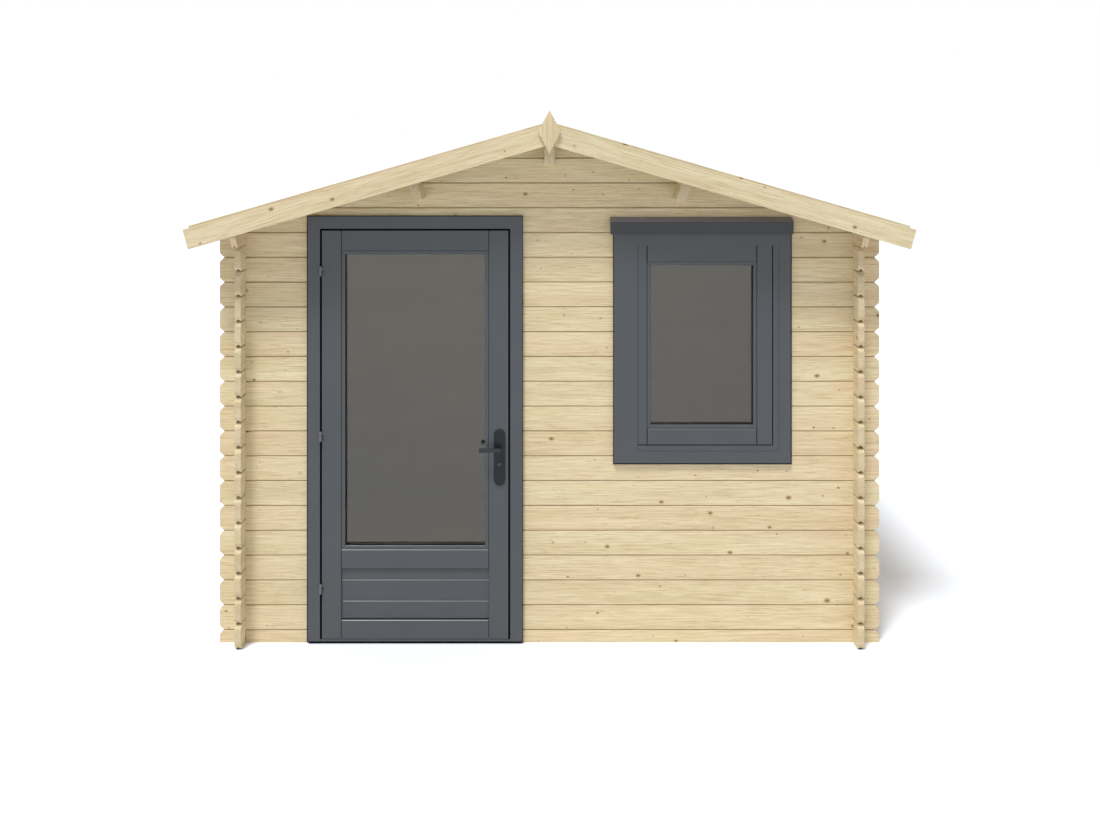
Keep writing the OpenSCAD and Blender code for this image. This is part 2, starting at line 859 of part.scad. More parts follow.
module pane(left, right, base, top, face_y) {
    block([left + fit_gap, face_y + glass_setback, base + fit_gap],
          [right - fit_gap, face_y + glass_setback + glass_thickness, top - fit_gap]);
}

module window_sash() {
    back = sash_face_y + sash_thickness;
    color(anthracite) {
        block([sash_left, sash_face_y, sash_base], [pane_left, back, sash_top]);
        block([pane_right, sash_face_y, sash_base], [sash_right, back, sash_top]);
        block([pane_left + fit_gap, sash_face_y, pane_top], [pane_right - fit_gap, back, sash_top]);
        block([pane_left + fit_gap, sash_face_y, sash_base], [pane_right - fit_gap, back, pane_base]);
    }
}

module window_beads() {
    color(anthracite) bead_rings(pane_left, pane_right, pane_base, pane_top, sash_face_y, sash_thickness);
}

module window_gasket() {
    color(black_rubber) gasket_ring(pane_left, pane_right, pane_base, pane_top, sash_face_y);
}

module window_glass() {
    color(pane_tint) pane(pane_left, pane_right, pane_base, pane_top, sash_face_y);
}

// ---- Door leaf ----

module door_stiles() {
    back = frame_front_y + leaf_thickness;
    color(anthracite) difference() {
        for (x = [leaf_left, leaf_right - stile_width])
            block([x, frame_front_y, leaf_base], [x + stile_width, back, leaf_top]);
        for (z = hinge_heights) hinge_stem(1, z, stem_radius + fit_gap);
        along_y(handle_x, spindle_height, leaf_thickness / 2 + SMALL, lever_neck_radius + fit_gap);
        along_y(handle_x, spindle_height - cylinder_drop, leaf_thickness / 2 + SMALL,
                cylinder_radius + fit_gap);
    }
}

module door_rails() {
    left = glazing_left + fit_gap;
    right = glazing_right - fit_gap;
    back = frame_front_y + leaf_thickness;
    color(anthracite) {
        block([left, frame_front_y, leaf_base], [right, back, panel_base]);
        block([left, frame_front_y, lock_rail_base], [right, back, glazing_base]);
        block([left, frame_front_y, glazing_top], [right, back, leaf_top]);
    }
}

module door_panel() {
    front = frame_front_y + panel_setback;
    color(anthracite)
        block([glazing_left + fit_gap, front, panel_base + fit_gap],
              [glazing_right - fit_gap, front + panel_thickness, lock_rail_base - fit_gap]);
}

module door_beads() {
    color(anthracite)
        bead_rings(glazing_left, glazing_right, glazing_base, glazing_top, frame_front_y, leaf_thickness);
}

module door_gasket() {
    color(black_rubber) gasket_ring(glazing_left, glazing_right, glazing_base, glazing_top, frame_front_y);
}

module door_glass() {
    color(pane_tint) pane(glazing_left, glazing_right, glazing_base, glazing_top, frame_front_y);
}

// ---- Hinges ----

function barrel_base(z) = z - barrel_height / 2;

// The height of one half of a barrel
function knuckle_height() = (barrel_height - fit_gap) / 2;

// The slanting stem of one hinge half: side -1 goes into the post, side 1 into the leaf
module hinge_stem(side, z, radius) {
    reach = barrel_offset * sqrt(2) + stem_depth + (radius - stem_radius);
    middle = barrel_base(z) + (side < 0 ? knuckle_height() / 2 : barrel_height - knuckle_height() / 2);
    translate([hinge_x, hinge_y, middle]) rotate([0, 90, side < 0 ? 135 : 45])
        cylinder(reach, r = radius, $fn = CURVE);
}

// The lower halves, with the pins that the leaf turns on
module hinge_frame_halves() {
    color(hardware) for (z = hinge_heights) {
        translate([hinge_x, hinge_y, barrel_base(z)]) {
            cylinder(knuckle_height(), r = barrel_radius, $fn = CURVE);
            cylinder(barrel_height - SMALL, r = hinge_pin_radius, $fn = CURVE);
        }
        hinge_stem(-1, z, stem_radius);
    }
}

module hinge_leaf_halves() {
    color(hardware) for (z = hinge_heights) difference() {
        union() {
            translate([hinge_x, hinge_y, barrel_base(z) + barrel_height - knuckle_height()])
                cylinder(knuckle_height(), r = barrel_radius, $fn = CURVE);
            hinge_stem(1, z, stem_radius);
        }
        translate([hinge_x, hinge_y, barrel_base(z)])
            cylinder(barrel_height - SMALL / 2, r = hinge_pin_radius + hinge_pin_clearance, $fn = CURVE);
    }
}

// ---- Handle and lock ----

// A round bar or bore along Y, centred in the leaf's thickness
module along_y(x, z, half_length, radius) {
    translate([x, leaf_mid_y, z]) rotate([90, 0, 0])
        cylinder(2 * half_length, r = radius, center = true, $fn = CURVE);
}

module plate_outline() {
    radius = plate_width / 2;
    translate([-radius, radius]) square([plate_width, plate_height - plate_width]);
    for (y = [radius, plate_height - radius]) translate([0, y]) circle(radius, $fn = CURVE);
}

module handle_plates() {
    color(hardware) difference() {
        for (way = [-1, 1])
            translate([handle_x, leaf_mid_y + way * (plate_back + plate_thickness / 2), plate_base])
                through_y(plate_thickness) plate_outline();
        along_y(handle_x, spindle_height, plate_face + SMALL, lever_neck_radius + neck_clearance);
        along_y(handle_x, spindle_height - cylinder_drop, plate_face + SMALL, cylinder_radius + fit_gap);
    }
}

module lock_cylinder() {
    color(hardware)
        along_y(handle_x, spindle_height - cylinder_drop, plate_face + cylinder_proud, cylinder_radius);
}

// Both levers on their spindle: they turn together
module door_levers() {
    grip_back = plate_face + lever_reach;
    grip_face = grip_back + lever_grip_thickness;
    half_grip = lever_grip_height / 2;
    color(hardware) {
        along_y(handle_x, spindle_height, grip_face - SMALL, spindle_radius);
        for (way = [-1, 1]) {
            neck_base = leaf_thickness / 2 - neck_sink;
            translate([handle_x, leaf_mid_y + way * neck_base, spindle_height]) rotate([-90 * way, 0, 0])
                cylinder(grip_back - neck_base + SMALL, r = lever_neck_radius, $fn = CURVE);
            translate([handle_x, leaf_mid_y + way * (grip_back + lever_grip_thickness / 2), spindle_height])
                through_y(lever_grip_thickness) {
                    translate([-lever_length, -half_grip]) square([lever_length, lever_grip_height]);
                    circle(half_grip, $fn = CURVE);
                }
        }
    }
}

front_wall_left();
front_wall_below_window();
front_wall_middle();
front_wall_right();
front_lintel_log();
front_gable();
back_wall();
back_gable();
left_wall();
right_wall();
left_eave_log();
right_eave_log();
floor_boards();
ridge_purlin();
left_purlin();
right_purlin();
left_roof_boards();
right_roof_boards();
eave_fascias();
front_barge_boards();
back_barge_boards();
finials();
door_post_left();
door_post_right();
door_head();
door_threshold();
window_posts();
window_head();
window_sill();
window_drip_board();
window_sash();
window_beads();
window_gasket();
window_glass();
hinge_frame_halves();
hinge_leaf_halves();
door_stiles();
door_rails();
door_panel();
door_beads();
door_gasket();
door_glass();
handle_plates();
lock_cylinder();
door_levers();
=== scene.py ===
"""Garden house of machined spruce logs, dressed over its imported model.

The building stands still as the body ``house``; the glazed leaf rides on ``door`` and both
levers ride on ``handle``. Lengths are in metres, +X to the right, +Y to the back, +Z up.
"""

import json
import logging
import math
from dataclasses import dataclass, field
from enum import IntEnum
from functools import cache
from itertools import pairwise, product
from typing import Sequence

import bmesh
import bpy
from bpy.types import Material, Node, NodeSocket, Object, World
from mathutils import Matrix, Vector


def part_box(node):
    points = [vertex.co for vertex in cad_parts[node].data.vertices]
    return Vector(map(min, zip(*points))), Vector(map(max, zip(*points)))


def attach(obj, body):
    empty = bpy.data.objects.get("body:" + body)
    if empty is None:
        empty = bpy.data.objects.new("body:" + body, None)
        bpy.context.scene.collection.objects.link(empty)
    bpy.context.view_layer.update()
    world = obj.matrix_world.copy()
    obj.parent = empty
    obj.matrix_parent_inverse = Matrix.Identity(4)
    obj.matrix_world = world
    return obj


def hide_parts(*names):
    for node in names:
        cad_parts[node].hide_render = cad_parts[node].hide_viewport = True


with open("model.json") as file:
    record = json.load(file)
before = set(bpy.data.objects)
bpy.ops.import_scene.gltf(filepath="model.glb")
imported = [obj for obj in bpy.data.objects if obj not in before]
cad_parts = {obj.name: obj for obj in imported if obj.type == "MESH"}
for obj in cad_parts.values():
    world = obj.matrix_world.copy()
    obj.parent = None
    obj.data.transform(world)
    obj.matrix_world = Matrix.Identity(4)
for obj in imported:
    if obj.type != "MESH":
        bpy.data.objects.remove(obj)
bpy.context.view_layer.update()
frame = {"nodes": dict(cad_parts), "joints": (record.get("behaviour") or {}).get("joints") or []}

logging.basicConfig(level=logging.INFO, format="%(message)s")
LOG = logging.getLogger("garden_house")

Point = Sequence[float]
Colour = tuple[float, float, float, float]

# ------------------------------ Colours and nodes ------------------------------

# What a kind of node is set to unless something else is given.
USUAL = {"Mix": {"data_type": "RGBA"}, "MapRange": {"interpolation_type": "SMOOTHSTEP"}}


def linear(hex_code: str, gain: float = 1.0) -> Colour:
    """Turns an sRGB hex colour into Blender's linear colour.

    Args:
        hex_code: A colour such as "#dfcda4".
        gain: Factor on its linear brightness.

    Returns:
        Linear red, green and blue with an alpha of 1.
    """
    channels = [int(hex_code[i : i + 2], 16) / 255 for i in (1, 3, 5)]
    flat = [c / 12.92 if c <= 0.04045 else ((c + 0.055) / 1.055) ** 2.4 for c in channels]
    return (*(min(1.0, c * gain) for c in flat), 1.0)


class Recipe:
    """The node tree of a material or a world while it is made."""

    def __init__(self, owner: Material | World) -> None:
        """Empties the tree of its owner.

        Args:
            owner: The material or world.
        """
        owner.use_nodes = True
        self.owner, self.tree = owner, owner.node_tree
        self.tree.nodes.clear()

    def add(
        self, kind: str, *values: object, named: dict[str, object] | None = None, **settings: object
    ) -> Node:
        """Adds a node with its settings, its values and its incoming links.

        Args:
            kind: Its type without the common prefix, then its operation, as in "Math FLOOR".
            *values: Numbers, hex colours, sockets or nodes for the open inputs, in order.
            named: The same for inputs given by name.
            **settings: Other attributes of the node.

        Returns:
            The new node, which as a value stands for its first open output.
        """
        kind, _, operation = kind.partition(" ")
        node = self.tree.nodes.new(f"ShaderNode{kind}")
        if operation:
            node.operation = operation
        for key, value in (USUAL.get(kind, {}) | settings).items():
            setattr(node, key, value)
        pairs = list(zip((socket for socket in node.inputs if socket.enabled), values))
        pairs += [(node.inputs[key], value) for key, value in (named or {}).items()]
        for socket, value in pairs:
            if isinstance(value, str):
                value = linear(value)
            if isinstance(value, Node):
                value = next(output for output in value.outputs if output.enabled)
            if isinstance(value, NodeSocket):
                self.tree.links.new(value, socket)
            else:
                socket.default_value = value
        return node

    def close(self, shader: Node, kind: str = "OutputMaterial") -> Material | World:
        """Sends a shader to the output, and returns the owner."""
        self.add(kind, shader)
        return self.owner


# ------------------------------ Finishes ------------------------------


class Axis(IntEnum):
    """A direction of the house."""

    X = 0
    Y = 1
    Z = 2


@dataclass(frozen=True)
class Finish:
    """A surface, with the record's slot that it belongs to."""

    name: str
    slot: str = field(default="", kw_only=True)

    def shader(self, r: Recipe) -> Node:
        """Adds the surface's nodes to a recipe, and returns its shader."""
        raise NotImplementedError

    @cache
    def material(self) -> Material:
        """Makes the material once, and gives the same one from then on."""
        recipe = Recipe(bpy.data.materials.new(self.name))
        return recipe.close(self.shader(recipe))

    def put_on(self, *nodes: str) -> None:
        """Dresses CAD nodes that keep their own shape.

        Args:
            *nodes: Their names.
        """
        for node in nodes:
            materials = frame["nodes"][node].data.materials
            materials.clear()
            materials.append(self.material())
            LOG.info("%s: packed shape", node)

    def dress(self, obj: Object, body: str, *nodes: str) -> None:
        """Finishes a new piece: its material, its body and the nodes it stands for.

        Args:
            obj: The piece.
            body: The body that it rides on.
            *nodes: CAD nodes that it replaces.
        """
        obj.data.materials.clear()
        obj.data.materials.append(self.material())
        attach(obj, body)
        if nodes:
            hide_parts(*nodes)
        LOG.info("%s: %d faces on %s", obj.name, len(obj.data.polygons), body)


@dataclass(frozen=True)
class Spruce(Finish):
    """Planed spruce, untreated.

    It gives the eye a pale straw ground, thin latewood streaks that run along each board,
    yellowish and pinkish patches, and small brown knots. Boards are counted across the
    grain, so each gets its own pith, tint and knots. Growth rings are cylinders round a pith
    that wanders along the board: flat-sawn figure on the faces, arcs on the ends.
    """

    along: Axis  # direction of the grain
    across: Axis  # direction in which boards are counted
    pitch: float  # width of a board
    phase: float = 0.0  # place where a board starts
    centre: float = 0.0  # place of the boards' middle, square to both directions
    seed: float = 0.0  # another one for each piece
    slope: float = 0.0  # turn about Y that lays a roof board level
    seam: float = 0.0  # how far dust and shade darken the V joints of logs, or 0
    seam_span: tuple[float, float] = (-0.0055, -0.0010)  # where that starts and is full
    # painted shade in the mouth of the groove in each log's end: its half width, height, soft
    # flanks and strength
    mouth: float = 0.013  # half the width of the groove that shows in a log's end
    groove: float = 0.013  # its height
    blur: float = 0.001  # how soft its flanks look
    gloom: float = 0.72  # how dark it is
    early: str = "#f0e5c8"
    late: str = "#bfaa82"
    warm: str = "#fdf6ee"
    cool: str = "#fcfcf4"
    pink: str = "#dcc2a0"
    yellow: str = "#d8ca96"
    knot_heart: str = "#84623d"
    knot_rim: str = "#ab8c62"
    end_grain: str = "#f1f0f1"
    # colour of the dust and painted shade in the V joints
    dust_and_painted_light: str = "#8a7248"
    # colour of that painted shade in the groove's mouth
    groove_shade: str = "#5f4d31"
    knot: tuple[float, float] = (0.28, 0.0094)  # board length for each, radius of the largest
    pin: tuple[float, float] = (0.17, 0.0052)
    ring: float = 0.0072  # real rings are 2 to 4 mm apart: drawn coarser, so that they show
    slot: str = field(default="spruce", kw_only=True)

    def shader(self, r: Recipe) -> Node:
        """Lays the wood's colours over each other: grain, patches, knots, ends, and dust and
        painted shade in the joints.

        Args:
            r: The wood's recipe.

        Returns:
            The wood's shader.
        """
        coordinates = r.add("TexCoord").outputs
        place, facing = coordinates["Object"], coordinates["Normal"]
        if self.slope:
            level = (0.0, 0.0, 0.0), (0.0, self.slope, 0.0)
            place, facing = (r.add("Mapping", vector, *level) for vector in (place, facing))
        facing = r.add("SeparateXYZ", facing).outputs[self.along]
        axes = r.add("SeparateXYZ", place).outputs
        u, v, w = axes[self.along], axes[self.across], axes[3 - self.along - self.across]
        # Each board has a number, and draws from it its start along the figure, pith and tint.
        count = r.add("Math MULTIPLY_ADD", v, 1 / self.pitch, -self.phase / self.pitch)
        board = r.add("Math FLOOR", count)
        part = r.add("Math FRACT", count)
        height = r.add("Math MULTIPLY_ADD", part, self.pitch, -self.pitch / 2)
        chance = r.add("TexWhiteNoise", r.add("CombineXYZ", board, self.seed, 0.37))
        lot = r.add("SeparateColor", chance.outputs["Color"]).outputs
        run = r.add("Math MULTIPLY_ADD", chance, 31.0, u)
        lie = r.add("CombineXYZ", run, v, w)

        # Knots come first, because the grain bends round them.
        rim, heart, bend = self.knots(r, run, board, height, *self.knot)
        pin_run = r.add("Math ADD", run, 7.7)
        pin_rim, pin_heart, _ = self.knots(r, pin_run, board, height, *self.pin)
        bent = r.add("Math MULTIPLY_ADD", bend, 0.006, height)
        grain = self.grain(r, lie, self.rings(r, run, bent, w, board, lot))
        tint = r.add("Mix", lot[2], self.warm, self.cool)
        wood = r.add("Mix", grain, self.early, self.late)
        wood = r.add("Mix", 1.0, wood, tint, blend_type="MULTIPLY")
        stretch = 1.9, 13.0, 13.0  # patches half a metre long and 80 mm wide
        patch = r.add("TexNoise", r.add("VectorMath MULTIPLY", lie, stretch), 1.0, 1.0)
        for share, colour in (
            (r.add("MapRange", patch, 0.52, 0.78, 0.0, 0.42), self.pink),
            (r.add("MapRange", patch, 0.22, 0.46, 0.34, 0.0), self.yellow),
            (r.add("Math MULTIPLY", pin_rim, 0.45), self.knot_rim),
            (r.add("Math MULTIPLY", pin_heart, 0.6), self.knot_heart),
            (rim, self.knot_rim),
            (heart, self.knot_heart),
        ):
            wood = r.add("Mix", share, wood, colour)
        # Faces that look along the grain are sawn ends.
        sawn = r.add("Math ABSOLUTE", facing)
        sawn = r.add("MapRange", sawn, 0.6, 0.9, interpolation_type="LINEAR")
        wood = r.add("Mix", sawn, wood, self.end_grain, blend_type="MULTIPLY")
        if self.seam:
            wood = self.shade(r, wood, height, w)
        relief = {"Height": grain, "Strength": 0.12, "Distance": 0.0006}
        inputs = {
            "Base Color": wood,
            "Roughness": r.add("Math MULTIPLY_ADD", grain, 0.12, 0.56),
            "Specular IOR Level": 0.28,
            "Normal": r.add("Bump", named=relief, invert=True),
        }
        return r.add("BsdfPrincipled", named=inputs)

    def grain(self, r: Recipe, lie: Node, rings: Node) -> Node:
        """Adds streaks, short dashes and slow clouds to the rings.

        Args:
            r: The wood's recipe.
            lie: Place along, across and into the board.
            rings: The growth rings.

        Returns:
            The tone of the wood, from 0 for earlywood to 1 for the darkest streaks.
        """
        tone = r.add("Math MULTIPLY", rings, 0.18)
        for stretch, detail, span in (
            ((6.5, 175.0, 175.0), 3.0, (0.38, 0.66, 0.0, 0.37)),  # streaks 6 mm wide
            ((17.0, 340.0, 340.0), 1.0, (0.60, 0.74, 0.0, 0.44)),  # dashes 3 mm wide
            ((1.1, 16.0, 16.0), 2.0, (0.30, 0.75, 0.0, 0.26)),  # clouds 60 mm wide
        ):
            noise = r.add("TexNoise", r.add("VectorMath MULTIPLY", lie, stretch), 1.0, detail, 0.6)
            tone = r.add("Math ADD", tone, r.add("MapRange", noise, *span), use_clamp=True)
        return tone

    def rings(
        self, r: Recipe, run: Node, height: Node, depth: NodeSocket, board: Node,
        lot: Sequence[NodeSocket],
    ) -> Node:
        """Draws growth rings round a pith that wanders along the board.

        Args:
            r: The wood's recipe.
            run: Place along the board.
            height: Place across it, from its middle.
            depth: Place into it.
            board: The board's number.
            lot: Its three random numbers.

        Returns:
            The rings, where 1 is the dark latewood.
        """
        drift = height
        for speed, swing in ((0.55, 0.16), (2.4, 0.03)):
            line = r.add("CombineXYZ", r.add("Math MULTIPLY", run, speed), board, self.seed + speed)
            drift = r.add("Math MULTIPLY_ADD", r.add("TexNoise", line, 1.0, 1.0), swing, drift)
        up = r.add("Math MULTIPLY_ADD", lot[0], -0.12, r.add("Math ADD", drift, -0.035))
        back = r.add("Math MULTIPLY_ADD", lot[1], -0.05, depth)
        back = r.add("Math ADD", back, -self.centre - 0.012)
        radius = r.add("VectorMath LENGTH", r.add("CombineXYZ", up, back))
        turn = r.add("Math FRACT", r.add("Math MULTIPLY", radius, 1 / self.ring))
        return r.add("Math POWER", turn, 1.6)

    def knots(
        self, r: Recipe, run: Node, board: Node, height: Node, gap: float, size: float
    ) -> tuple[Node, Node, Node]:
        """Scatters oval knots, one at most in each stretch of a board.

        Args:
            r: The wood's recipe.
            run: Place along the board.
            board: The board's number.
            height: Place across it, from its middle.
            gap: Length of a stretch.
            size: Radius of the largest knot.

        Returns:
            The shares of a knot's rim and heart, and how strongly the grain bends round it.
        """
        # Rows of cells, so far apart that no board sees the knots of the next.
        row = r.add("Math MULTIPLY_ADD", board, 3 * self.pitch, height)
        cells = (1 / gap, 1 / self.pitch, 0.0), (0.0, 0.5, 0.0)
        cell = r.add("VectorMath MULTIPLY_ADD", r.add("CombineXYZ", run, row), *cells)
        near = r.add("TexVoronoi", cell, 1.0, named={"Randomness": 0.9}, voronoi_dimensions="2D")
        off = r.add("VectorMath SUBTRACT", cell, near.outputs["Position"])
        off = r.add("VectorMath MULTIPLY", off, (gap * 0.7, self.pitch, 0.0))
        away = r.add("VectorMath LENGTH", off)
        # Luck gives each cell its knot's size, down to none.
        luck = r.add("SeparateColor", near.outputs["Color"])
        grade = r.add("MapRange", luck, 0.2, 1.0, interpolation_type="LINEAR")
        radius = r.add("Math MULTIPLY", r.add("Math POWER", grade, 1.9), size)
        there = r.add("Math LESS_THAN", 0.001, radius)
        shares = []
        for start, end in ((0.45, 1.7), (0.15, 1.0)):
            edges = (r.add("Math MULTIPLY", radius, factor) for factor in (start, end))
            share = r.add("MapRange", away, *edges, 0.85, 0.0)
            shares.append(r.add("Math MULTIPLY", share, there))
        pull = r.add("MapRange", away, 0.004, 0.03, 1.0, 0.0)
        return *shares, r.add("Math MULTIPLY", pull, there)

    def shade(self, r: Recipe, wood: Node, height: Node, depth: NodeSocket) -> Node:
        """Paints dust and shade into the V joints between logs, and shade into the mouth of the
        groove in each log's end.

        Args:
            r: The wood's recipe.
            wood: The colour so far.
            height: Place across the log, from its middle.
            depth: Place into it.

        Returns:
            The new colour.
        """
        # Dust and painted shade along the V joints between logs.
        edge = r.add("Math ADD", r.add("Math ABSOLUTE", height), -self.pitch / 2)
        share = r.add("MapRange", edge, *self.seam_span, 0.0, self.seam)
        wood = r.add("Mix", share, wood, self.dust_and_painted_light)
        # Painted shade: a dark wedge in the mouth of the groove, at the bottom of each log's end.
        off = r.add("Math ABSOLUTE", r.add("Math ADD", depth, -self.centre))
        up = r.add("Math ADD", height, self.pitch / 2)
        reach = r.add("Math MULTIPLY_ADD", up, -self.mouth / self.groove, self.mouth)
        inside = r.add("Math SUBTRACT", reach, off)
        side = r.add("MapRange", inside, -self.blur, self.blur, 0.0, self.gloom)
        low = r.add("MapRange", up, self.groove - 3 * self.blur, self.groove, 1.0, 0.0)
        return r.add("Mix", r.add("Math MULTIPLY", side, low), wood, self.groove_shade)


@dataclass(frozen=True)
class PaintedTimber(Finish):
    """Spruce joinery sprayed with satin alkyd paint.

    It gives the eye an even, slightly blue grey with a soft sheen, a trace of the grain
    under the film, and a little pale dust with a painted highlight on what faces up.
    """

    colour: str
    grain: Axis = Axis.Z
    roughness: float = 0.34
    # share of pale dust and painted highlight on what faces up
    dust_and_painted_light: float = 0.12
    dust_and_highlight_colour: str = "#a3a2a8"
    slot: str = field(default="painted_timber", kw_only=True)

    def shader(self, r: Recipe) -> Node:
        """Lays pale dust and a painted highlight, on what faces up, over paint that shows some
        grain.

        Args:
            r: The paint's recipe.

        Returns:
            The paint's shader.
        """
        place = r.add("TexCoord").outputs["Object"]
        # Real pores are finer than 1 mm: drawn 4 mm wide, so that they show.
        stretch = [9.0 if axis is self.grain else 240.0 for axis in Axis]
        grain = r.add("TexNoise", r.add("VectorMath MULTIPLY", place, stretch), 1.0, 3.0, 0.55)
        cloud = r.add("Math MULTIPLY", r.add("TexNoise", place, 7.0, 2.0), 0.45)
        share = r.add("Math MULTIPLY_ADD", grain, 0.55, cloud)
        paint = r.add("Mix", share, linear(self.colour, 0.86), linear(self.colour, 1.12))
        # Faces that look up get pale dust and a painted highlight, as on lit ledges and chamfers.
        facing = r.add("SeparateXYZ", r.add("NewGeometry").outputs["Normal"]).outputs["Z"]
        dust_and_highlight_share = r.add("MapRange", facing, 0.3, 0.75, 0.0, self.dust_and_painted_light)
        relief = {"Height": grain, "Strength": 0.10, "Distance": 0.0004}
        inputs = {
            "Base Color": r.add("Mix", dust_and_highlight_share, paint, self.dust_and_highlight_colour),
            "Roughness": r.add("Math MULTIPLY_ADD", grain, 0.10, self.roughness - 0.05),
            "Normal": r.add("Bump", named=relief),
        }
        return r.add("BsdfPrincipled", named=inputs)


@dataclass(frozen=True)
class CoatedMetal(Finish):
    """Powder-coated or blackened metal fittings.

    The coating gives the eye a fine orange peel and a soft, narrow highlight.
    """

    colour: str
    roughness: float = 0.36
    gloss: float = 0.5
    metallic: float = 0.0
    slot: str = field(default="hardware", kw_only=True)

    def shader(self, r: Recipe) -> Node:
        """Gives the coating its peel and a little change of tone.

        Args:
            r: The coating's recipe.

        Returns:
            The coating's shader.
        """
        place = r.add("TexCoord").outputs["Object"]
        peel = r.add("TexNoise", place, 900.0, 2.0)  # bumps 1 mm wide
        tone = r.add("TexNoise", place, 60.0)
        relief = {"Height": peel, "Strength": 0.12, "Distance": 0.0002}
        inputs = {
            "Base Color": r.add("Mix", tone, self.colour, linear(self.colour, 1.15)),
            "Metallic": self.metallic,
            "Specular IOR Level": self.gloss,
            "Roughness": r.add("Math MULTIPLY_ADD", peel, 0.12, self.roughness - 0.06),
            "Normal": r.add("Bump", named=relief),
        }
        return r.add("BsdfPrincipled", named=inputs)


@dataclass(frozen=True)
class Rubber(Finish):
    """Extruded EPDM rubber, which gives the eye a dull black with a faint grey bloom."""

    colour: str = "#040506"
    bloom: str = "#0c0d0f"
    slot: str = field(default="gasket", kw_only=True)

    def shader(self, r: Recipe) -> Node:
        """Lets the bloom show in patches.

        Args:
            r: The rubber's recipe.

        Returns:
            The rubber's shader.
        """
        bloom = r.add("TexNoise", r.add("TexCoord").outputs["Object"], 35.0, 3.0)
        inputs = {
            "Base Color": r.add("Mix", r.add("MapRange", bloom, 0.4, 0.8), self.colour, self.bloom),
            "Roughness": r.add("Math MULTIPLY_ADD", bloom, 0.15, 0.68),
            "Specular IOR Level": 0.08,
        }
        return r.add("BsdfPrincipled", named=inputs)


@dataclass(frozen=True)
class FloatGlass(Finish):
    """Toughened float glass with a solar coating.

    It gives the eye a grey pane: the coating returns some light evenly, and the room behind
    it shows soft and dim. The light that enters the room passes straight through.
    """

    tint: str = "#e7e7e7"
    sheen: str = "#f1f3ec"
    clear: str = "#f7f4ec"
    roughness: float = 0.11
    ior: float = 1.66
    slot: str = field(default="pane", kw_only=True)

    def shader(self, r: Recipe) -> Node:
        """Parts the rays that are seen from those that light the room.

        Args:
            r: The glass's recipe.

        Returns:
            The glass's shader.
        """
        inputs = {
            "Base Color": self.tint,
            "Roughness": self.roughness,
            "IOR": self.ior,
            "Specular Tint": self.sheen,
            "Transmission Weight": 1.0,
        }
        path = r.add("LightPath").outputs
        passing = r.add("Math MAXIMUM", path["Is Shadow Ray"], path["Is Diffuse Ray"])
        glass = r.add("BsdfPrincipled", named=inputs)
        return r.add("MixShader", passing, glass, r.add("BsdfTransparent", self.clear))


PAINT = PaintedTimber("satin_paint_on_uprights", "#494d51")
RAIL_PAINT = PaintedTimber("satin_paint_on_rails", "#494d51", Axis.X)
# The drip board's paint: the casings' grey made darker as painted shade, with more dust and a
# bluish painted highlight on its upward slope.
DRIP_PAINT = PaintedTimber(
    "dark_paint_on_drip_board", "#2e3133", Axis.X,
    dust_and_painted_light=0.5, dust_and_highlight_colour="#a3a3bd", slot="dark_timber",
)
PLATE_STEEL = CoatedMetal("black_coated_steel", "#191a1d", gloss=0.32)
LEVER_STEEL = CoatedMetal("black_coated_levers", "#1c1d20", 0.27)
HINGE_STEEL = CoatedMetal("grey_coated_hinge_steel", "#5e6266", 0.3)
BRASS = CoatedMetal("blackened_brass", "#4c4c4e", 0.34, metallic=1.0)
RUBBER = Rubber("black_epdm_rubber")
GLASS = FloatGlass("solar_float_glass")

# ------------------------------ The bench ------------------------------

SHARP, CREASE = 40.0, 21.0  # degrees between faces from which an edge stays sharp
ARRIS, FLAT = 30.0, 0.6  # degrees from which an edge is eased, or up to which faces are one
NEAR = 1e-5  # places closer than this are one


def activate(obj: Object) -> None:
    """Selects one object alone and makes it active.

    Args:
        obj: The object.
    """
    bpy.ops.object.select_all(action="DESELECT")
    obj.select_set(True)
    bpy.context.view_layer.objects.active = obj


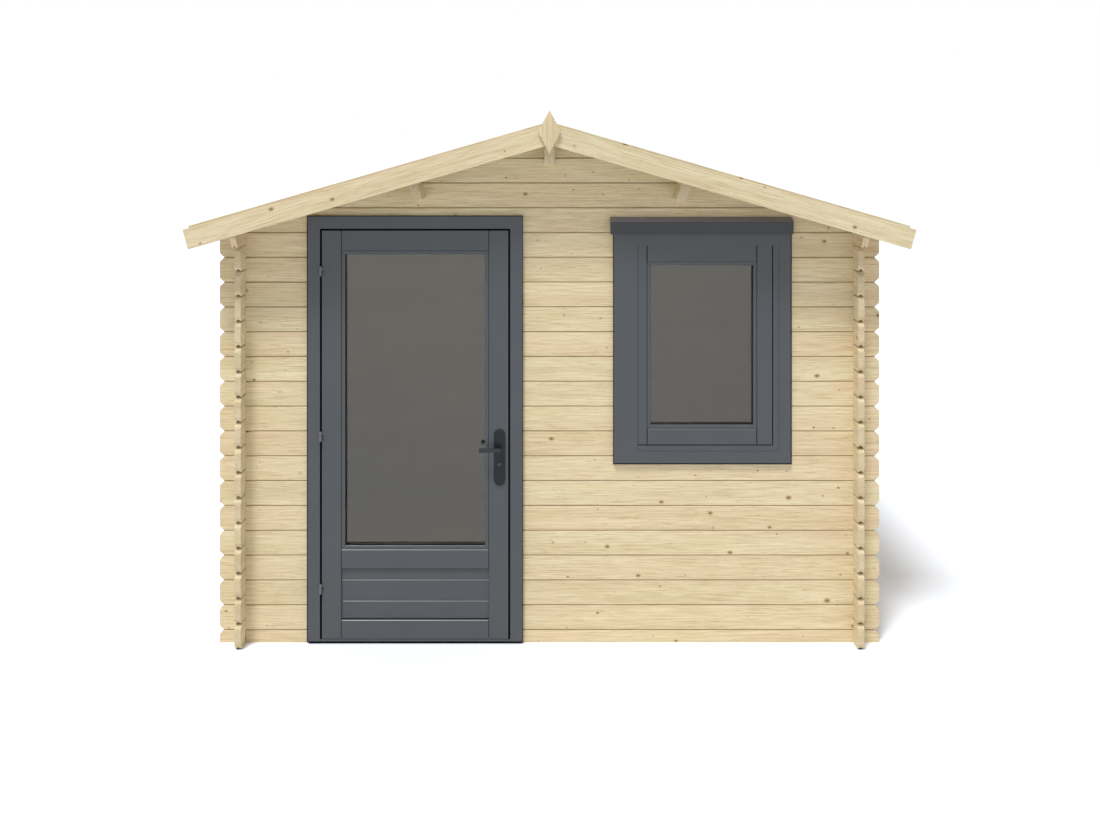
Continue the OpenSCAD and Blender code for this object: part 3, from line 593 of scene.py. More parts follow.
@dataclass
class EditMode:
    """Edit mode on one object, with edges picked by where they lie."""

    obj: Object

    def __enter__(self) -> "EditMode":
        """Opens edit mode with nothing selected.

        Returns:
            The bench itself.
        """
        activate(self.obj)
        bpy.ops.object.mode_set(mode="EDIT")
        bpy.ops.mesh.select_all(action="DESELECT")
        return self

    def __exit__(self, *error: object) -> None:
        """Leaves edit mode."""
        bpy.ops.object.mode_set(mode="OBJECT")

    def pick(
        self, x: float | None = None, y: float | None = None, z: float | None = None,
        below: float = math.inf, along: Axis | None = None,
    ) -> None:
        """Selects the edges that lie wholly at the given coordinates.

        Args:
            x: Coordinate of both ends, or None for any.
            y: The same along Y.
            z: The same along Z.
            below: Height under which both ends lie.
            along: Axis that they run along, or None for any.
        """
        bpy.ops.mesh.select_mode(type="EDGE")
        bpy.ops.mesh.select_all(action="DESELECT")
        places = [(i, value) for i, value in enumerate((x, y, z)) if value is not None]
        for edge in bmesh.from_edit_mesh(self.obj.data).edges:
            start, end = (vertex.co for vertex in edge.verts)
            there = all(abs(co[i] - value) < NEAR for co in (start, end) for i, value in places)
            level = max(start.z, end.z) < below
            runs = along is None or abs((end - start)[along]) > 0.999 * (end - start).length
            if there and level and runs:
                edge.select_set(True)
        bmesh.update_edit_mesh(self.obj.data)

    def chamfer(self, width: float, segments: int = 1, **place: float | Axis) -> None:
        """Picks edges by place and bevels them.

        Args:
            width: Width of the bevel.
            segments: 1 for a flat chamfer, more for a round.
            **place: Coordinates and axis, as for pick.
        """
        self.pick(**place)
        bpy.ops.mesh.bevel(offset=width, segments=segments, affect="EDGES", clamp_overlap=True)

    def move(self, shift: Point, **place: float | Axis) -> None:
        """Picks edges by place and moves them.

        Args:
            shift: How far they move.
            **place: Coordinates and axis, as for pick.
        """
        self.pick(**place)
        bpy.ops.transform.translate(value=shift)

    def saw(self, point: Point, outward: Point, off: bool = True) -> None:
        """Cuts the mesh with a plane.

        Args:
            point: A point on the plane.
            outward: The plane's normal.
            off: Whether what lies beyond it is sawn off and the cut closed.
        """
        bpy.ops.mesh.select_all(action="SELECT")
        bpy.ops.mesh.bisect(plane_co=point, plane_no=outward, clear_outer=off, use_fill=off)


def settle(name: str) -> Object:
    """Names the new object and moves its place, turn and scale into its mesh.

    Args:
        name: Its name.

    Returns:
        The object.
    """
    obj = bpy.context.active_object
    obj.name = name
    activate(obj)
    bpy.ops.object.transform_apply(location=True, rotation=True, scale=True)
    return obj


def box(name: str, low: Point, high: Point, *chamfers: tuple[float, dict]) -> Object:
    """Adds a box, with its place in its mesh.

    Args:
        name: Its name.
        low: Its lowest corner.
        high: Its highest corner.
        *chamfers: Width and place of each of its chamfers, as for EditMode.chamfer.

    Returns:
        The box.
    """
    low, high = Vector(low), Vector(high)
    bpy.ops.mesh.primitive_cube_add(size=1.0, location=(low + high) / 2)
    bpy.context.active_object.scale = high - low
    piece = settle(name)
    if chamfers:
        with EditMode(piece) as bench:
            for width, place in chamfers:
                bench.chamfer(width, **place)
    return piece


def rail(name: str, low: Point, high: Point, joint: float, *chamfers: tuple[float, dict]) -> Object:
    """Adds a box as above, with one more chamfer at the face of both ends."""
    ends = [(joint, {"x": end, "y": low[1]}) for end in (low[0], high[0])]
    return box(name, low, high, *ends, *chamfers)


def block(near: float, far: float, left: float, base: float, right: float, top: float) -> Object:
    """Adds a box, given by its depths and then by its outline as seen from the front."""
    return box("block", (left, near, base), (right, far, top))


def rod(
    name: str, centre: Point, radius: float, length: float, turn: Point = (math.pi / 2, 0, 0),
    sides: int = 32,
) -> Object:
    """Adds a cylinder, with its place in its mesh.

    Args:
        name: Its name.
        centre: Its middle.
        radius: Its radius.
        length: Its length.
        turn: Euler angles from +Z; it lies along Y unless they are given.
        sides: Its sides.

    Returns:
        The cylinder.
    """
    bpy.ops.mesh.primitive_cylinder_add(
        vertices=sides, radius=radius, depth=length, location=centre, rotation=turn
    )
    return smooth(settle(name))


def smooth(obj: Object, angle: float = SHARP) -> Object:
    """Shades an object smooth, apart from its sharp edges.

    Args:
        obj: The object.
        angle: Smallest angle between faces that stays sharp, in degrees.

    Returns:
        The same object.
    """
    activate(obj)
    bpy.ops.object.shade_smooth_by_angle(angle=math.radians(angle))
    return obj


def ease(obj: Object, width: float, segments: int = 2) -> Object:
    """Rounds every arris of a closed mesh.

    Args:
        obj: The mesh.
        width: Width of the rounding.
        segments: Steps of the rounding; 1 is a flat chamfer.

    Returns:
        The same object.
    """
    bevel = obj.modifiers.new("ease", "BEVEL")
    bevel.width, bevel.segments = width, segments
    bevel.limit_method, bevel.angle_limit = "ANGLE", math.radians(ARRIS)
    activate(obj)
    bpy.ops.object.modifier_apply(modifier=bevel.name)
    return smooth(obj, CREASE)


def trace(node: str, name: str) -> Object:
    """Copies a CAD node as a new piece with whole faces, ready to be carved.

    Args:
        node: The node's name.
        name: The piece's name.

    Returns:
        The piece.
    """
    obj = bpy.data.objects.new(name, frame["nodes"][node].data.copy())
    bpy.context.scene.collection.objects.link(obj)
    with EditMode(obj):
        bpy.ops.mesh.select_all(action="SELECT")
        bpy.ops.mesh.remove_doubles(threshold=NEAR)
        bpy.ops.mesh.dissolve_limited(angle_limit=math.radians(FLAT))
        bpy.ops.mesh.normals_make_consistent(inside=False)
    return obj


def join(parts: Sequence[Object], name: str) -> Object:
    """Joins objects into one.

    Args:
        parts: The objects.
        name: Name of the whole.

    Returns:
        The whole.
    """
    activate(parts[0])
    for part in parts[1:]:
        part.select_set(True)
    bpy.ops.object.join()
    parts[0].name = name
    return parts[0]


def row(board: Object, count: int, step: float, name: str) -> Object:
    """Lays copies of a board side by side along Y, each with its own mesh, and joins them.

    Args:
        board: The first board.
        count: How many there are.
        step: From each to the next.
        name: Name of the whole.

    Returns:
        The whole.
    """
    boards = [board]
    for i in range(1, count):
        twin = board.copy()
        twin.data = board.data.copy()
        twin.data.transform(Matrix.Translation((0, i * step, 0)))
        bpy.context.scene.collection.objects.link(twin)
        boards.append(twin)
    return join(boards, name)


def cut(obj: Object, *cutters: Object) -> None:
    """Cuts objects out of another, and removes the cutters.

    Args:
        obj: The object to cut.
        *cutters: The shapes to take away.
    """
    for cutter in cutters:
        boolean = obj.modifiers.new("cut", "BOOLEAN")
        boolean.operation, boolean.object, boolean.solver = "DIFFERENCE", cutter, "EXACT"
        activate(obj)
        bpy.ops.object.modifier_apply(modifier=boolean.name)
        bpy.data.objects.remove(cutter)


def joint_place(name: str) -> Vector:
    """Gives a point on a joint's axis."""
    return Vector(next(joint for joint in frame["joints"] if joint["name"] == name)["pos_m"])


def between(first: str, last: str) -> tuple[Vector, Vector]:
    """Gives the lowest corner of one CAD node and the highest of another."""
    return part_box(first)[0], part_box(last)[1]


# ------------------------------ The house ------------------------------

PITCH = math.radians(16.1)
SLOPE_ROOT = 2.34898  # height of the roof boards' underside at the ridge
SQUARE_ROOT = SLOPE_ROOT * math.cos(PITCH)  # the same, square to the slope
COURSE = 0.113
SLIT = 0.0003  # play between two pieces of joinery
HAIR = 0.0001  # the smallest gap or lap
OVER, BEYOND = 0.01, 1.0  # how far a cutter reaches past a face, and past a whole frame
THROUGH = 0.2  # length of a bore through the leaf


class Side(IntEnum):
    """One of two slopes or side walls, by the way that it lies along X."""

    LEFT = -1
    RIGHT = 1


class Gable(IntEnum):
    """One of the two gables, by the way that it lies along Y."""

    FRONT = -1
    BACK = 1


class Edge(IntEnum):
    """An edge of an opening, seen from the front."""

    BOTTOM = 0
    RIGHT = 1
    TOP = 2
    LEFT = 3


def on_slope(obj: Object, side: Side, mitred: bool = True) -> Object:
    """Lays a piece made flat, with X from the ridge down and Z square to the roof, onto a slope.

    Args:
        obj: The flat piece, as for the right slope.
        side: The slope.
        mitred: Whether it is sawn off plumb, just short of the ridge line.

    Returns:
        The same object.
    """
    if side is Side.LEFT:
        activate(obj)
        obj.scale.x = -1
        bpy.ops.object.transform_apply(location=False, rotation=False, scale=True)
        with EditMode(obj):
            bpy.ops.mesh.select_all(action="SELECT")
            bpy.ops.mesh.normals_make_consistent(inside=False)
    up = Matrix.Translation((0, 0, SLOPE_ROOT))
    obj.data.transform(up @ Matrix.Rotation(side * PITCH, 4, "Y"))
    if mitred:
        with EditMode(obj) as bench:
            bench.saw((side * SLIT / 2, 0, 0), (-side, 0, 0))
    return obj


@dataclass
class LogWalls:
    """The walls of interlocking logs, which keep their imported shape."""

    front_depth: float = 1.146
    side_depth: float = 1.396
    # strength of the dust and painted shade in the V joints, stronger on the side walls
    front_shade: float = 0.32
    side_shade: float = 0.5
    eave_log: float = 0.16
    eave_height: float = 1.80

    def build(self) -> None:
        """Gives each wall and each eave log its own wood."""
        front = Axis.X, Axis.Z, COURSE, -COURSE / 2
        side = Axis.Y, Axis.Z, COURSE, 0.0
        for name, lie, centre, seed, shade in (
            ("front", front, -self.front_depth, 1.0, self.front_shade),
            ("back", front, self.front_depth, 23.0, self.front_shade),
            ("left", side, -self.side_depth, 39.0, self.side_shade),
            ("right", side, self.side_depth, 41.0, self.side_shade),
        ):
            logs = Spruce(f"spruce_{name}_logs", *lie, centre, seed, seam=shade)
            starts = f"{name}_wall", f"{name}_gable", f"{name}_lintel"
            logs.put_on(*(node for node in frame["nodes"] if node.startswith(starts)))
        for side in Side:
            node, centre = f"{side.name.lower()}_eave_log", side * self.side_depth
            lie = Axis.Y, Axis.Z, self.eave_log, self.eave_height
            Spruce(f"spruce_{node}", *lie, centre, 60.0 + side).put_on(node)


@dataclass
class FloorBoards:
    """Floor boards with eased upper edges, notched round the door frame."""

    count: int = 24
    play: float = 0.0004
    edge: float = 0.0016
    notch: float = 0.0566

    def build(self) -> None:
        """Lays the boards across the room."""
        low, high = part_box("floor_boards")
        sill_low, sill_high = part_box("door_threshold")
        left, right = sill_low.x - self.notch, sill_high.x + self.notch
        cover = (high.y - low.y) / self.count
        far = low.y + cover - self.play
        board = box("floor_board", low, (high.x, far, high.z))
        with EditMode(board) as bench:
            for place in (left, right):
                bench.saw((place, 0, 0), (1, 0, 0), off=False)
            for side in (low.y, far):
                bench.chamfer(self.edge, y=side, z=high.z, along=Axis.X)
        floor = row(board, self.count, cover, "floor_of_boards")
        cut(floor, block(low.y - BEYOND, sill_high.y + SLIT, left, -BEYOND, right, BEYOND))
        lie = Axis.X, Axis.Y, cover, low.y, low.z
        wood = Spruce("spruce_floor_boards", *lie, seed=7.0)
        wood.dress(floor, "house", "floor_boards")


@dataclass
class Roof:
    """Boards, purlins, barge boards, fascias and the two diamonds of the roof."""

    board_count: int = 28
    board_thickness: float = 0.016
    board_run: float = 1.6435
    play: float = 0.0005
    joint: float = 0.0035
    upper_joint: float = 0.001
    past_ridge: float = 0.04  # how far a piece starts behind the ridge before it is mitred
    barge_low: float = -0.083
    barge_high: float = 0.007
    barge_run: float = 1.6685
    fascia_low: float = -0.063
    fascia_thickness: float = 0.020
    fascia_phase: float = 1.76
    fascia_place: float = 1.59
    purlin_setback: float = 0.034
    ridge_setback: float = 0.014
    arris: float = 0.0018
    diamond_chamfer: float = 0.0045
    diamond_place: float = -1.387
    narrow: float = 0.2  # cells of the figure, larger than the boards and beams that they hold
    wide: float = 0.3

    def build(self) -> None:
        """Builds the whole roof."""
        for side in Side:
            self.slope(side)
        self.barge_boards()
        self.purlins()
        self.diamonds()

    def slope(self, side: Side) -> None:
        """Lays a slope of boards with V joints on the underside (their tongues are not made), and
        its fascia.

        Args:
            side: The slope.
        """
        name, top = side.name.lower(), self.board_thickness
        low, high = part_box(f"{name}_roof_boards")
        cover = (high.y - low.y) / self.board_count
        start = (-self.past_ridge / 2, low.y, 0)
        end = (self.board_run, low.y + cover - self.play, top)
        under = self.joint, {"z": 0.0, "along": Axis.X}
        over = self.upper_joint, {"z": top, "along": Axis.X}
        board = box("roof_board", start, end, under, over)
        boards = row(board, self.board_count, cover, f"{name}_slope_boards")
        wood = Spruce(
            f"spruce_{name}_roof_boards", Axis.X, Axis.Y, cover,
            phase=low.y, centre=SQUARE_ROOT, seed=80.0 + side, slope=-side * PITCH,
            early="#e6dcc6", late="#b1a384", pink="#d6c8aa",
        )
        wood.dress(on_slope(boards, side), "house", f"{name}_roof_boards")

        low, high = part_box("eave_fascias")
        start = (self.board_run + SLIT, low.y, self.fascia_low)
        end = (start[0] + self.fascia_thickness, high.y, self.barge_high)
        fascia = ease(box(f"{name}_fascia", start, end), self.arris)
        wood = Spruce(
            f"spruce_{name}_fascia", Axis.Y, Axis.Z, self.narrow,
            phase=self.fascia_phase, centre=side * self.fascia_place, seed=90.0 + side,
        )
        wood.dress(on_slope(fascia, side, mitred=False), "house", "eave_fascias")

    def barge_boards(self) -> None:
        """Fixes the barge boards of both gables."""
        for gable, side in product(Gable, Side):
            front, hand = gable.name.lower(), side.name.lower()
            low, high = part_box(f"{front}_barge_boards")
            start = (-self.past_ridge, low.y, self.barge_low)
            end = (self.barge_run, high.y, self.barge_high)
            board = on_slope(box(f"barge_board_{front}_{hand}", start, end), side)
            middle = SQUARE_ROOT + (self.barge_low + self.barge_high) / 2
            wood = Spruce(
                f"spruce_barge_{front}_{hand}", Axis.X, Axis.Z, self.narrow,
                phase=middle - self.narrow / 2, centre=(low.y + high.y) / 2,
                seed=140.0 + 3 * gable + side, slope=-side * PITCH,
                early="#eae1c5", pink="#d6c4a0", yellow="#dccfa2",
            )
            wood.dress(ease(board, self.arris), "house", f"{front}_barge_boards")

    def purlins(self) -> None:
        """Lays the purlins, whose ends stand back behind the barge boards."""
        for node, seed, setback in (
            ("ridge_purlin", 120.0, self.ridge_setback),
            ("left_purlin", 121.0, self.purlin_setback),
            ("right_purlin", 122.0, self.purlin_setback),
        ):
            low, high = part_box(node)
            beam = trace(node, f"{node}_planed")
            with EditMode(beam) as bench:
                for gable in Gable:
                    bench.saw((0, gable * (high.y - setback), 0), (0, gable, 0))
            wood = Spruce(
                f"spruce_{node}", Axis.Y, Axis.Z, self.wide,
                phase=(low.z + high.z - self.wide) / 2, centre=(low.x + high.x) / 2, seed=seed,
            )
            wood.dress(ease(beam, self.arris), "house", node)

    def diamonds(self) -> None:
        """Fixes the diamonds that cover the barge boards' joint at both gables."""
        wood = Spruce(
            "spruce_diamonds", Axis.Z, Axis.X, self.wide,
            phase=-self.wide / 2, centre=self.diamond_place, seed=133.0,
            early="#ebe3c8", pink="#dac8a4", yellow="#dccfa2",
        )
        piece = ease(trace("finials", "ridge_diamonds"), self.diamond_chamfer, 1)
        wood.dress(piece, "house", "finials")


@dataclass
class Glazing:
    """A pane with its gasket and mitred beads on both faces of a leaf or sash."""

    name: str
    body: str
    head_chamfer: float = 0.0024
    drop: float = 0.0
    bead_width: float = 0.018
    front_depth: float = 0.006
    back_depth: float = 0.0057
    inner_chamfer: float = 0.0035
    outer_chamfer: float = 0.0024
    mitre_gap: float = 0.0002
    bead_arris: float = 0.0005
    seal_arris: float = 0.0012
    pane_arris: float = 0.0006

    def build(self) -> None:
        """Fits beads, gasket and pane."""
        low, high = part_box(f"{self.name}_beads")
        low, high = low - Vector((SLIT, 0, SLIT + self.drop)), high + Vector((SLIT, 0, SLIT))
        faces = ((low.y, self.front_depth), (high.y, -self.back_depth))
        strips = [self.strip(low, high, *face, edge) for face in faces for edge in Edge]
        PAINT.dress(join(strips, f"{self.name}_glazing_beads"), self.body, f"{self.name}_beads")
        for finish, node, part, arris in (
            (RUBBER, "gasket", "glazing_seal", self.seal_arris),
            (GLASS, "glass", "pane", self.pane_arris),
        ):
            piece = trace(f"{self.name}_{node}", f"{self.name}_{part}")
            with EditMode(piece) as bench:
                bench.move((0, 0, -self.drop), below=(low.z + high.z) / 2)
            finish.dress(ease(piece, arris, 1), self.body, f"{self.name}_{node}")

    def strip(self, low: Vector, high: Vector, face: float, depth: float, edge: Edge) -> Object:
        """Makes one mitred bead.

        Args:
            low: Lowest corner of the opening.
            high: Highest corner of the opening.
            face: Depth of the bead's outer face.
            depth: Signed thickness, from the outer face towards the pane.
            edge: Edge of the opening that it lies along.

        Returns:
            The strip.
        """
        upright = edge in (Edge.LEFT, Edge.RIGHT)
        outer = (low.z, high.x, high.z, low.x)[edge]
        inner = outer + (self.bead_width if edge in (Edge.BOTTOM, Edge.LEFT) else -self.bead_width)
        near, far = sorted((face, face + depth))
        base, top = sorted((outer, inner))
        x0, x1, z0, z1 = (base, top, low.z, high.z) if upright else (low.x, high.x, base, top)
        across, chamfer = "zx"[upright], self.outer_chamfer
        if edge is Edge.TOP:
            chamfer = self.head_chamfer
        piece = box(
            "bead", (x0, near, z0), (x1, far, z1),
            (self.inner_chamfer, {"segments": 2, "y": face, across: inner}),
            (chamfer, {"y": face, across: outer}),
        )
        with EditMode(piece) as bench:
            for end in (0, 1):
                x, z = (outer, (low.z, high.z)[end]) if upright else ((low.x, high.x)[end], outer)
                outward = Vector((-1 if x == low.x else 1, 0, 1 if z == low.z else -1))
                outward *= -1 if upright else 1
                bench.saw(Vector((x, 0, z)) - outward.normalized() * self.mitre_gap, outward)
        return ease(piece, self.bead_arris, 1)


@dataclass
class Joinery:
    """Frames of the door and the window, which wrap the ends of the logs."""

    arris: float = 0.0012
    casing: float = 0.0555
    jamb: float = 0.024
    stop: float = 0.0145
    rebate: float = 0.045
    lap: float = 0.0197  # thickness of a casing, as far as the logs
    foot: float = 0.012  # height at which the frame starts
    sill_arris: float = 0.0015
    # black strips under the frame's foot, as painted shadow
    foot_shadow_inset: float = 0.002
    foot_shadow_front: float = 0.010
    foot_shadow_depth: float = 0.020
    foot_shadow_play: float = 0.0005
    seal_foot: float = 0.021
    seal_front: float = 0.011
    seal_back: float = 0.001
    seal_play: float = 0.003
    seal_arris: float = 0.001
    # the black tape round the casings is painted shadow; its widths left, right, above and below
    # follow where that shadow shows
    tape: float = 0.003
    tape_arris: float = 0.0008
    door_shadow_tape: tuple[float, ...] = (0.007, 0.002, 0.003, 0.0)  # left, right, above and below
    window_shadow_tape: tuple[float, ...] = (0.003, 0.0075, 0.0, 0.0095)
    window_casing: float = 0.052
    window_left: float = 0.108
    window_right: float = 0.0798
    window_head: float = 0.072
    window_rest: float = 0.0105
    head_groove: float = 0.0137
    step: float = 0.003  # depth of the step round the sash
    ramp: float = 0.016  # how far its upper edge slopes down to that depth
    drip_lip: float = 0.005
    drip_left: float = 0.003
    drip_right: float = 0.005
    drip_arris: float = 0.0013

    def build(self) -> None:
        """Builds both frames, the threshold, the seals, the black tape of painted shadow round the
        casings and the drip board.
        """
        self.door_frame()
        self.threshold()
        self.gap_seals_and_shade()
        self.window_frame()
        self.painted_shadow_tape()
        self.drip_board()

    def doorway(self) -> tuple[float, float, float]:
        """Gives the left, the right and the top of the rebate that the leaf shuts into."""
        low, high = between("door_post_left", "door_head")
        return low.x + self.casing, high.x - self.casing, high.z - self.casing

    def door_frame(self) -> None:
        """Wraps the door's opening in one frame with casings, jambs and stops."""
        low, high = between("door_post_left", "door_head")
        left, right, top = self.doorway()
        near, far = low.y - OVER, high.y + OVER
        wall = low.y + self.lap, high.y - self.lap
        start, end = low.x - BEYOND, high.x + BEYOND
        piece = box("door_frame", (low.x, low.y, 0), high)
        cut(
            piece,
            block(near, low.y + self.rebate, left, -BEYOND, right, top),
            block(near, far, left + self.stop, -BEYOND, right - self.stop, top - self.stop),
            block(*wall, start, -BEYOND, left - self.jamb, high.z + BEYOND),
            block(*wall, right + self.jamb, -BEYOND, end, high.z + BEYOND),
            block(*wall, start, top + self.jamb, end, high.z + BEYOND),
            block(near, wall[0] + HAIR, start, -BEYOND, end, self.foot),
        )
        nodes = "door_post_left", "door_post_right", "door_head"
        PAINT.dress(ease(piece, self.arris), "house", *nodes)

    def threshold(self) -> None:
        """Lays the threshold on black strips that stand back from the frame's face: painted shadow
        along the foot of the door.
        """
        low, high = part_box("door_threshold")
        frame_low, frame_high = between("door_post_left", "door_head")
        sill = box("threshold_board", (low.x, low.y, self.foot), high)
        PAINT.dress(ease(sill, self.sill_arris), "house", "door_threshold")
        wall = low.y + self.lap - 2 * HAIR
        left, right = frame_low.x + self.foot_shadow_inset, frame_high.x - self.foot_shadow_inset
        under = self.foot - self.foot_shadow_play
        # Black strips under the foot of the frame and threshold, as painted shadow.
        strips = (
            block(low.y + self.foot_shadow_front, wall, left, 0, right, self.foot),
            block(low.y + self.foot_shadow_depth, high.y, low.x, 0, high.x, under),
        )
        foot_shadow = join([ease(strip, self.seal_arris) for strip in strips], "foot_shadow_strips")
        RUBBER.dress(foot_shadow, "house")

    def gap_seals_and_shade(self) -> None:
        """Sets black rubber in the gap round the leaf: a seal, and painted shade that keeps the
        whole gap dark.
        """
        low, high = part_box("door_stiles")
        left, right, top = self.doorway()
        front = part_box("door_post_left")[0].y
        depths = front + self.seal_front, front + self.rebate - self.seal_back
        start, end, top = low.x - self.seal_play, high.x + self.seal_play, top - SLIT
        # Black rubber fills the gap nearly to the leaf: partly a real seal, partly painted shade.
        seals = (
            block(*depths, left + SLIT, self.seal_foot, start, top),
            block(*depths, end, self.seal_foot, right - SLIT, top),
            block(*depths, start, high.z + self.seal_play, end, top),
        )
        seals = join([ease(seal, self.seal_arris) for seal in seals], "door_gap_seals_and_shade")
        RUBBER.dress(seals, "house")

    def window_frame(self) -> None:
        """Wraps the window's opening in one frame, with a shallow step round the sash."""
        low, high = between("window_sill", "window_head")
        left, right = low.x + self.window_left, high.x - self.window_right
        base, top = low.z + self.window_right, high.z - self.window_head
        edge, rest, depth = self.window_casing, self.window_rest, self.window_casing - self.jamb
        near, back = low.y - OVER, low.y + self.step
        wall = low.y + self.lap, high.y - self.lap
        x0, x1, z0, z1 = low.x - BEYOND, high.x + BEYOND, low.z - BEYOND, high.z + BEYOND
        step = block(near, back, left, low.z + edge, high.x - edge, high.z - edge)
        with EditMode(step) as bench:
            bench.move((0, 0, -self.ramp), y=back, z=high.z - edge)
        piece = box("window_frame", low, high)
        cut(
            piece,
            block(near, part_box("window_sash")[1].y + SLIT, left, base, right, top),
            block(near, high.y + OVER, left + rest, base + rest, right - rest, top - rest),
            step,
            block(*wall, x0, z0, low.x + depth, z1),
            block(*wall, high.x - depth, z0, x1, z1),
            block(*wall, x0, z0, x1, low.z + depth),
            block(*wall, x0, high.z - self.head_groove, x1, z1),
        )
        with EditMode(piece) as bench:
            for y, uprights, levels in (
                (low.y, (low.x, high.x), (low.z, high.z)),
                (high.y, (low.x, high.x), (low.z, high.z)),
                (back, (left, right), (base,)),
                (high.y, (left + rest, right - rest), (base + rest, top - rest)),
            ):
                for x in uprights:
                    bench.chamfer(self.arris, x=x, y=y)
                for z in levels:
                    bench.chamfer(self.arris, y=y, z=z)
        nodes = "window_posts", "window_head", "window_sill"
        PAINT.dress(smooth(piece, CREASE), "house", *nodes)

    def painted_shadow_tape(self) -> None:
        """Lays a thin black tape round the casings, where they meet the logs: painted shadow along
        their edges, wider where that shadow shows.
        """
        strips = []
        for (low, high), (left, right, above, below) in (
            (between("door_post_left", "door_head"), self.door_shadow_tape),
            (between("window_sill", "window_head"), self.window_shadow_tape),
        ):
            wall = low.y + self.lap
            base, top = low.z - below, high.z + above
            spans = [
                (low.x - left, base, low.x - HAIR, top),
                (high.x + HAIR, base, high.x + right, top),
            ]
            if above:
                spans.append((low.x, high.z + HAIR, high.x, top))
            if below:
                spans.append((low.x, base, high.x, low.z - HAIR))
            strips += [block(wall - self.tape, wall - HAIR, *span) for span in spans]
        strips = [ease(strip, self.tape_arris, 1) for strip in strips]
        RUBBER.dress(join(strips, "painted_shadow_tape"), "house")

    def drip_board(self) -> None:
        """Makes the drip board over the window, whose lip hangs over the casing."""
        low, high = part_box("window_drip_board")
        board = trace("window_drip_board", "drip_board")
        with EditMode(board) as bench:
            bench.move((0, 0, -self.drip_lip), z=low.z)
            bench.move((-self.drip_left, 0, 0), x=low.x)
            bench.move((-self.drip_right, 0, 0), x=high.x)
        DRIP_PAINT.dress(ease(board, self.drip_arris), "house", "window_drip_board")


@dataclass
class DoorLeaf:
    """The leaf's timber: stiles, rails and a boarded panel below the glazing."""

    stile: float = 0.088
    joint: float = 0.0024
    slit: float = 0.0008
    ledge: float = 0.0045
    groove: float = 0.0028
    grooves: tuple[float, ...] = (0.1925, 0.2885)
    panel_front: float = 0.011
    sweep: float = 0.004
    sweep_inset: float = 0.001
    sweep_front: float = 0.0015
    stile_arris: float = 0.0008
    rail_arris: float = 0.0006
    panel_arris: float = 0.0005
    spindle_bore: float = 0.0093

    def build(self) -> None:
        """Builds the leaf's timber."""
        low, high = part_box("door_stiles")
        panel_low, panel_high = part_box("door_panel")
        bead_low, bead_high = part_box("door_beads")
        left, right = low.x + self.stile, high.x - self.stile
        for name, start, end, inner in (
            ("hinge_stile", low.x, left, left),
            ("lock_stile", right, high.x, right),
        ):
            chamfer = self.joint, {"x": inner, "y": low.y}
            stile = box(name, (start, low.y, low.z), (end, high.y, high.z), chamfer)
            ease(stile, self.stile_arris, 1)
            if name == "lock_stile":
                self.bore(stile)
            PAINT.dress(stile, "door", "door_stiles")
        left, right = left + self.slit, right - self.slit
        for name, base, top in (
            ("bottom_rail", low.z, panel_low.z - SLIT),
            ("lock_rail", panel_high.z + SLIT, bead_low.z - SLIT),
            ("top_rail", bead_high.z + SLIT, high.z),
        ):
            ledge = self.ledge, {"y": low.y, "z": top, "along": Axis.X}
            ledges = () if name == "top_rail" else (ledge,)
            piece = rail(name, (left, low.y, base), (right, high.y, top), self.joint, *ledges)
            RAIL_PAINT.dress(ease(piece, self.rail_arris, 1), "door", "door_rails")
        start = (low.x + self.sweep_inset, low.y + self.sweep_front, low.z - self.sweep)
        end = (high.x - self.sweep_inset, high.y - self.sweep_inset, low.z - HAIR)
        RAIL_PAINT.dress(ease(box("door_sweep", start, end), self.rail_arris, 1), "door")
        self.panel(low.y + self.panel_front)

    def bore(self, stile: Object) -> None:
        """Drills the stile for the levers' necks and the lock cylinder.

        Args:
            stile: The lock stile.
        """
        low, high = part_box("lock_cylinder")
        barrel = (high.x - low.x) / 2 + SLIT
        cut(
            stile,
            rod("spindle_bore", joint_place("handle_turn"), self.spindle_bore, THROUGH),
            rod("cylinder_bore", (low + high) / 2, barrel, THROUGH),
        )
        smooth(stile)

    def panel(self, front: float) -> None:
        """Joins level boards with V grooves between them.

        Args:
            front: Depth of the panel's face.
        """
        low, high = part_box("door_panel")
        boards = []
        for base, top in pairwise((low.z, *self.grooves, high.z)):
            chamfers = [
                (self.groove * (1 if z in self.grooves else 2), {"y": front, "z": z})
                for z in (base, top)
            ]
            board = box("panel_board", (low.x, front, base), (high.x, high.y, top), *chamfers)
            boards.append(ease(board, self.panel_arris, 1))
        RAIL_PAINT.dress(join(boards, "boarded_panel"), "door", "door_panel")


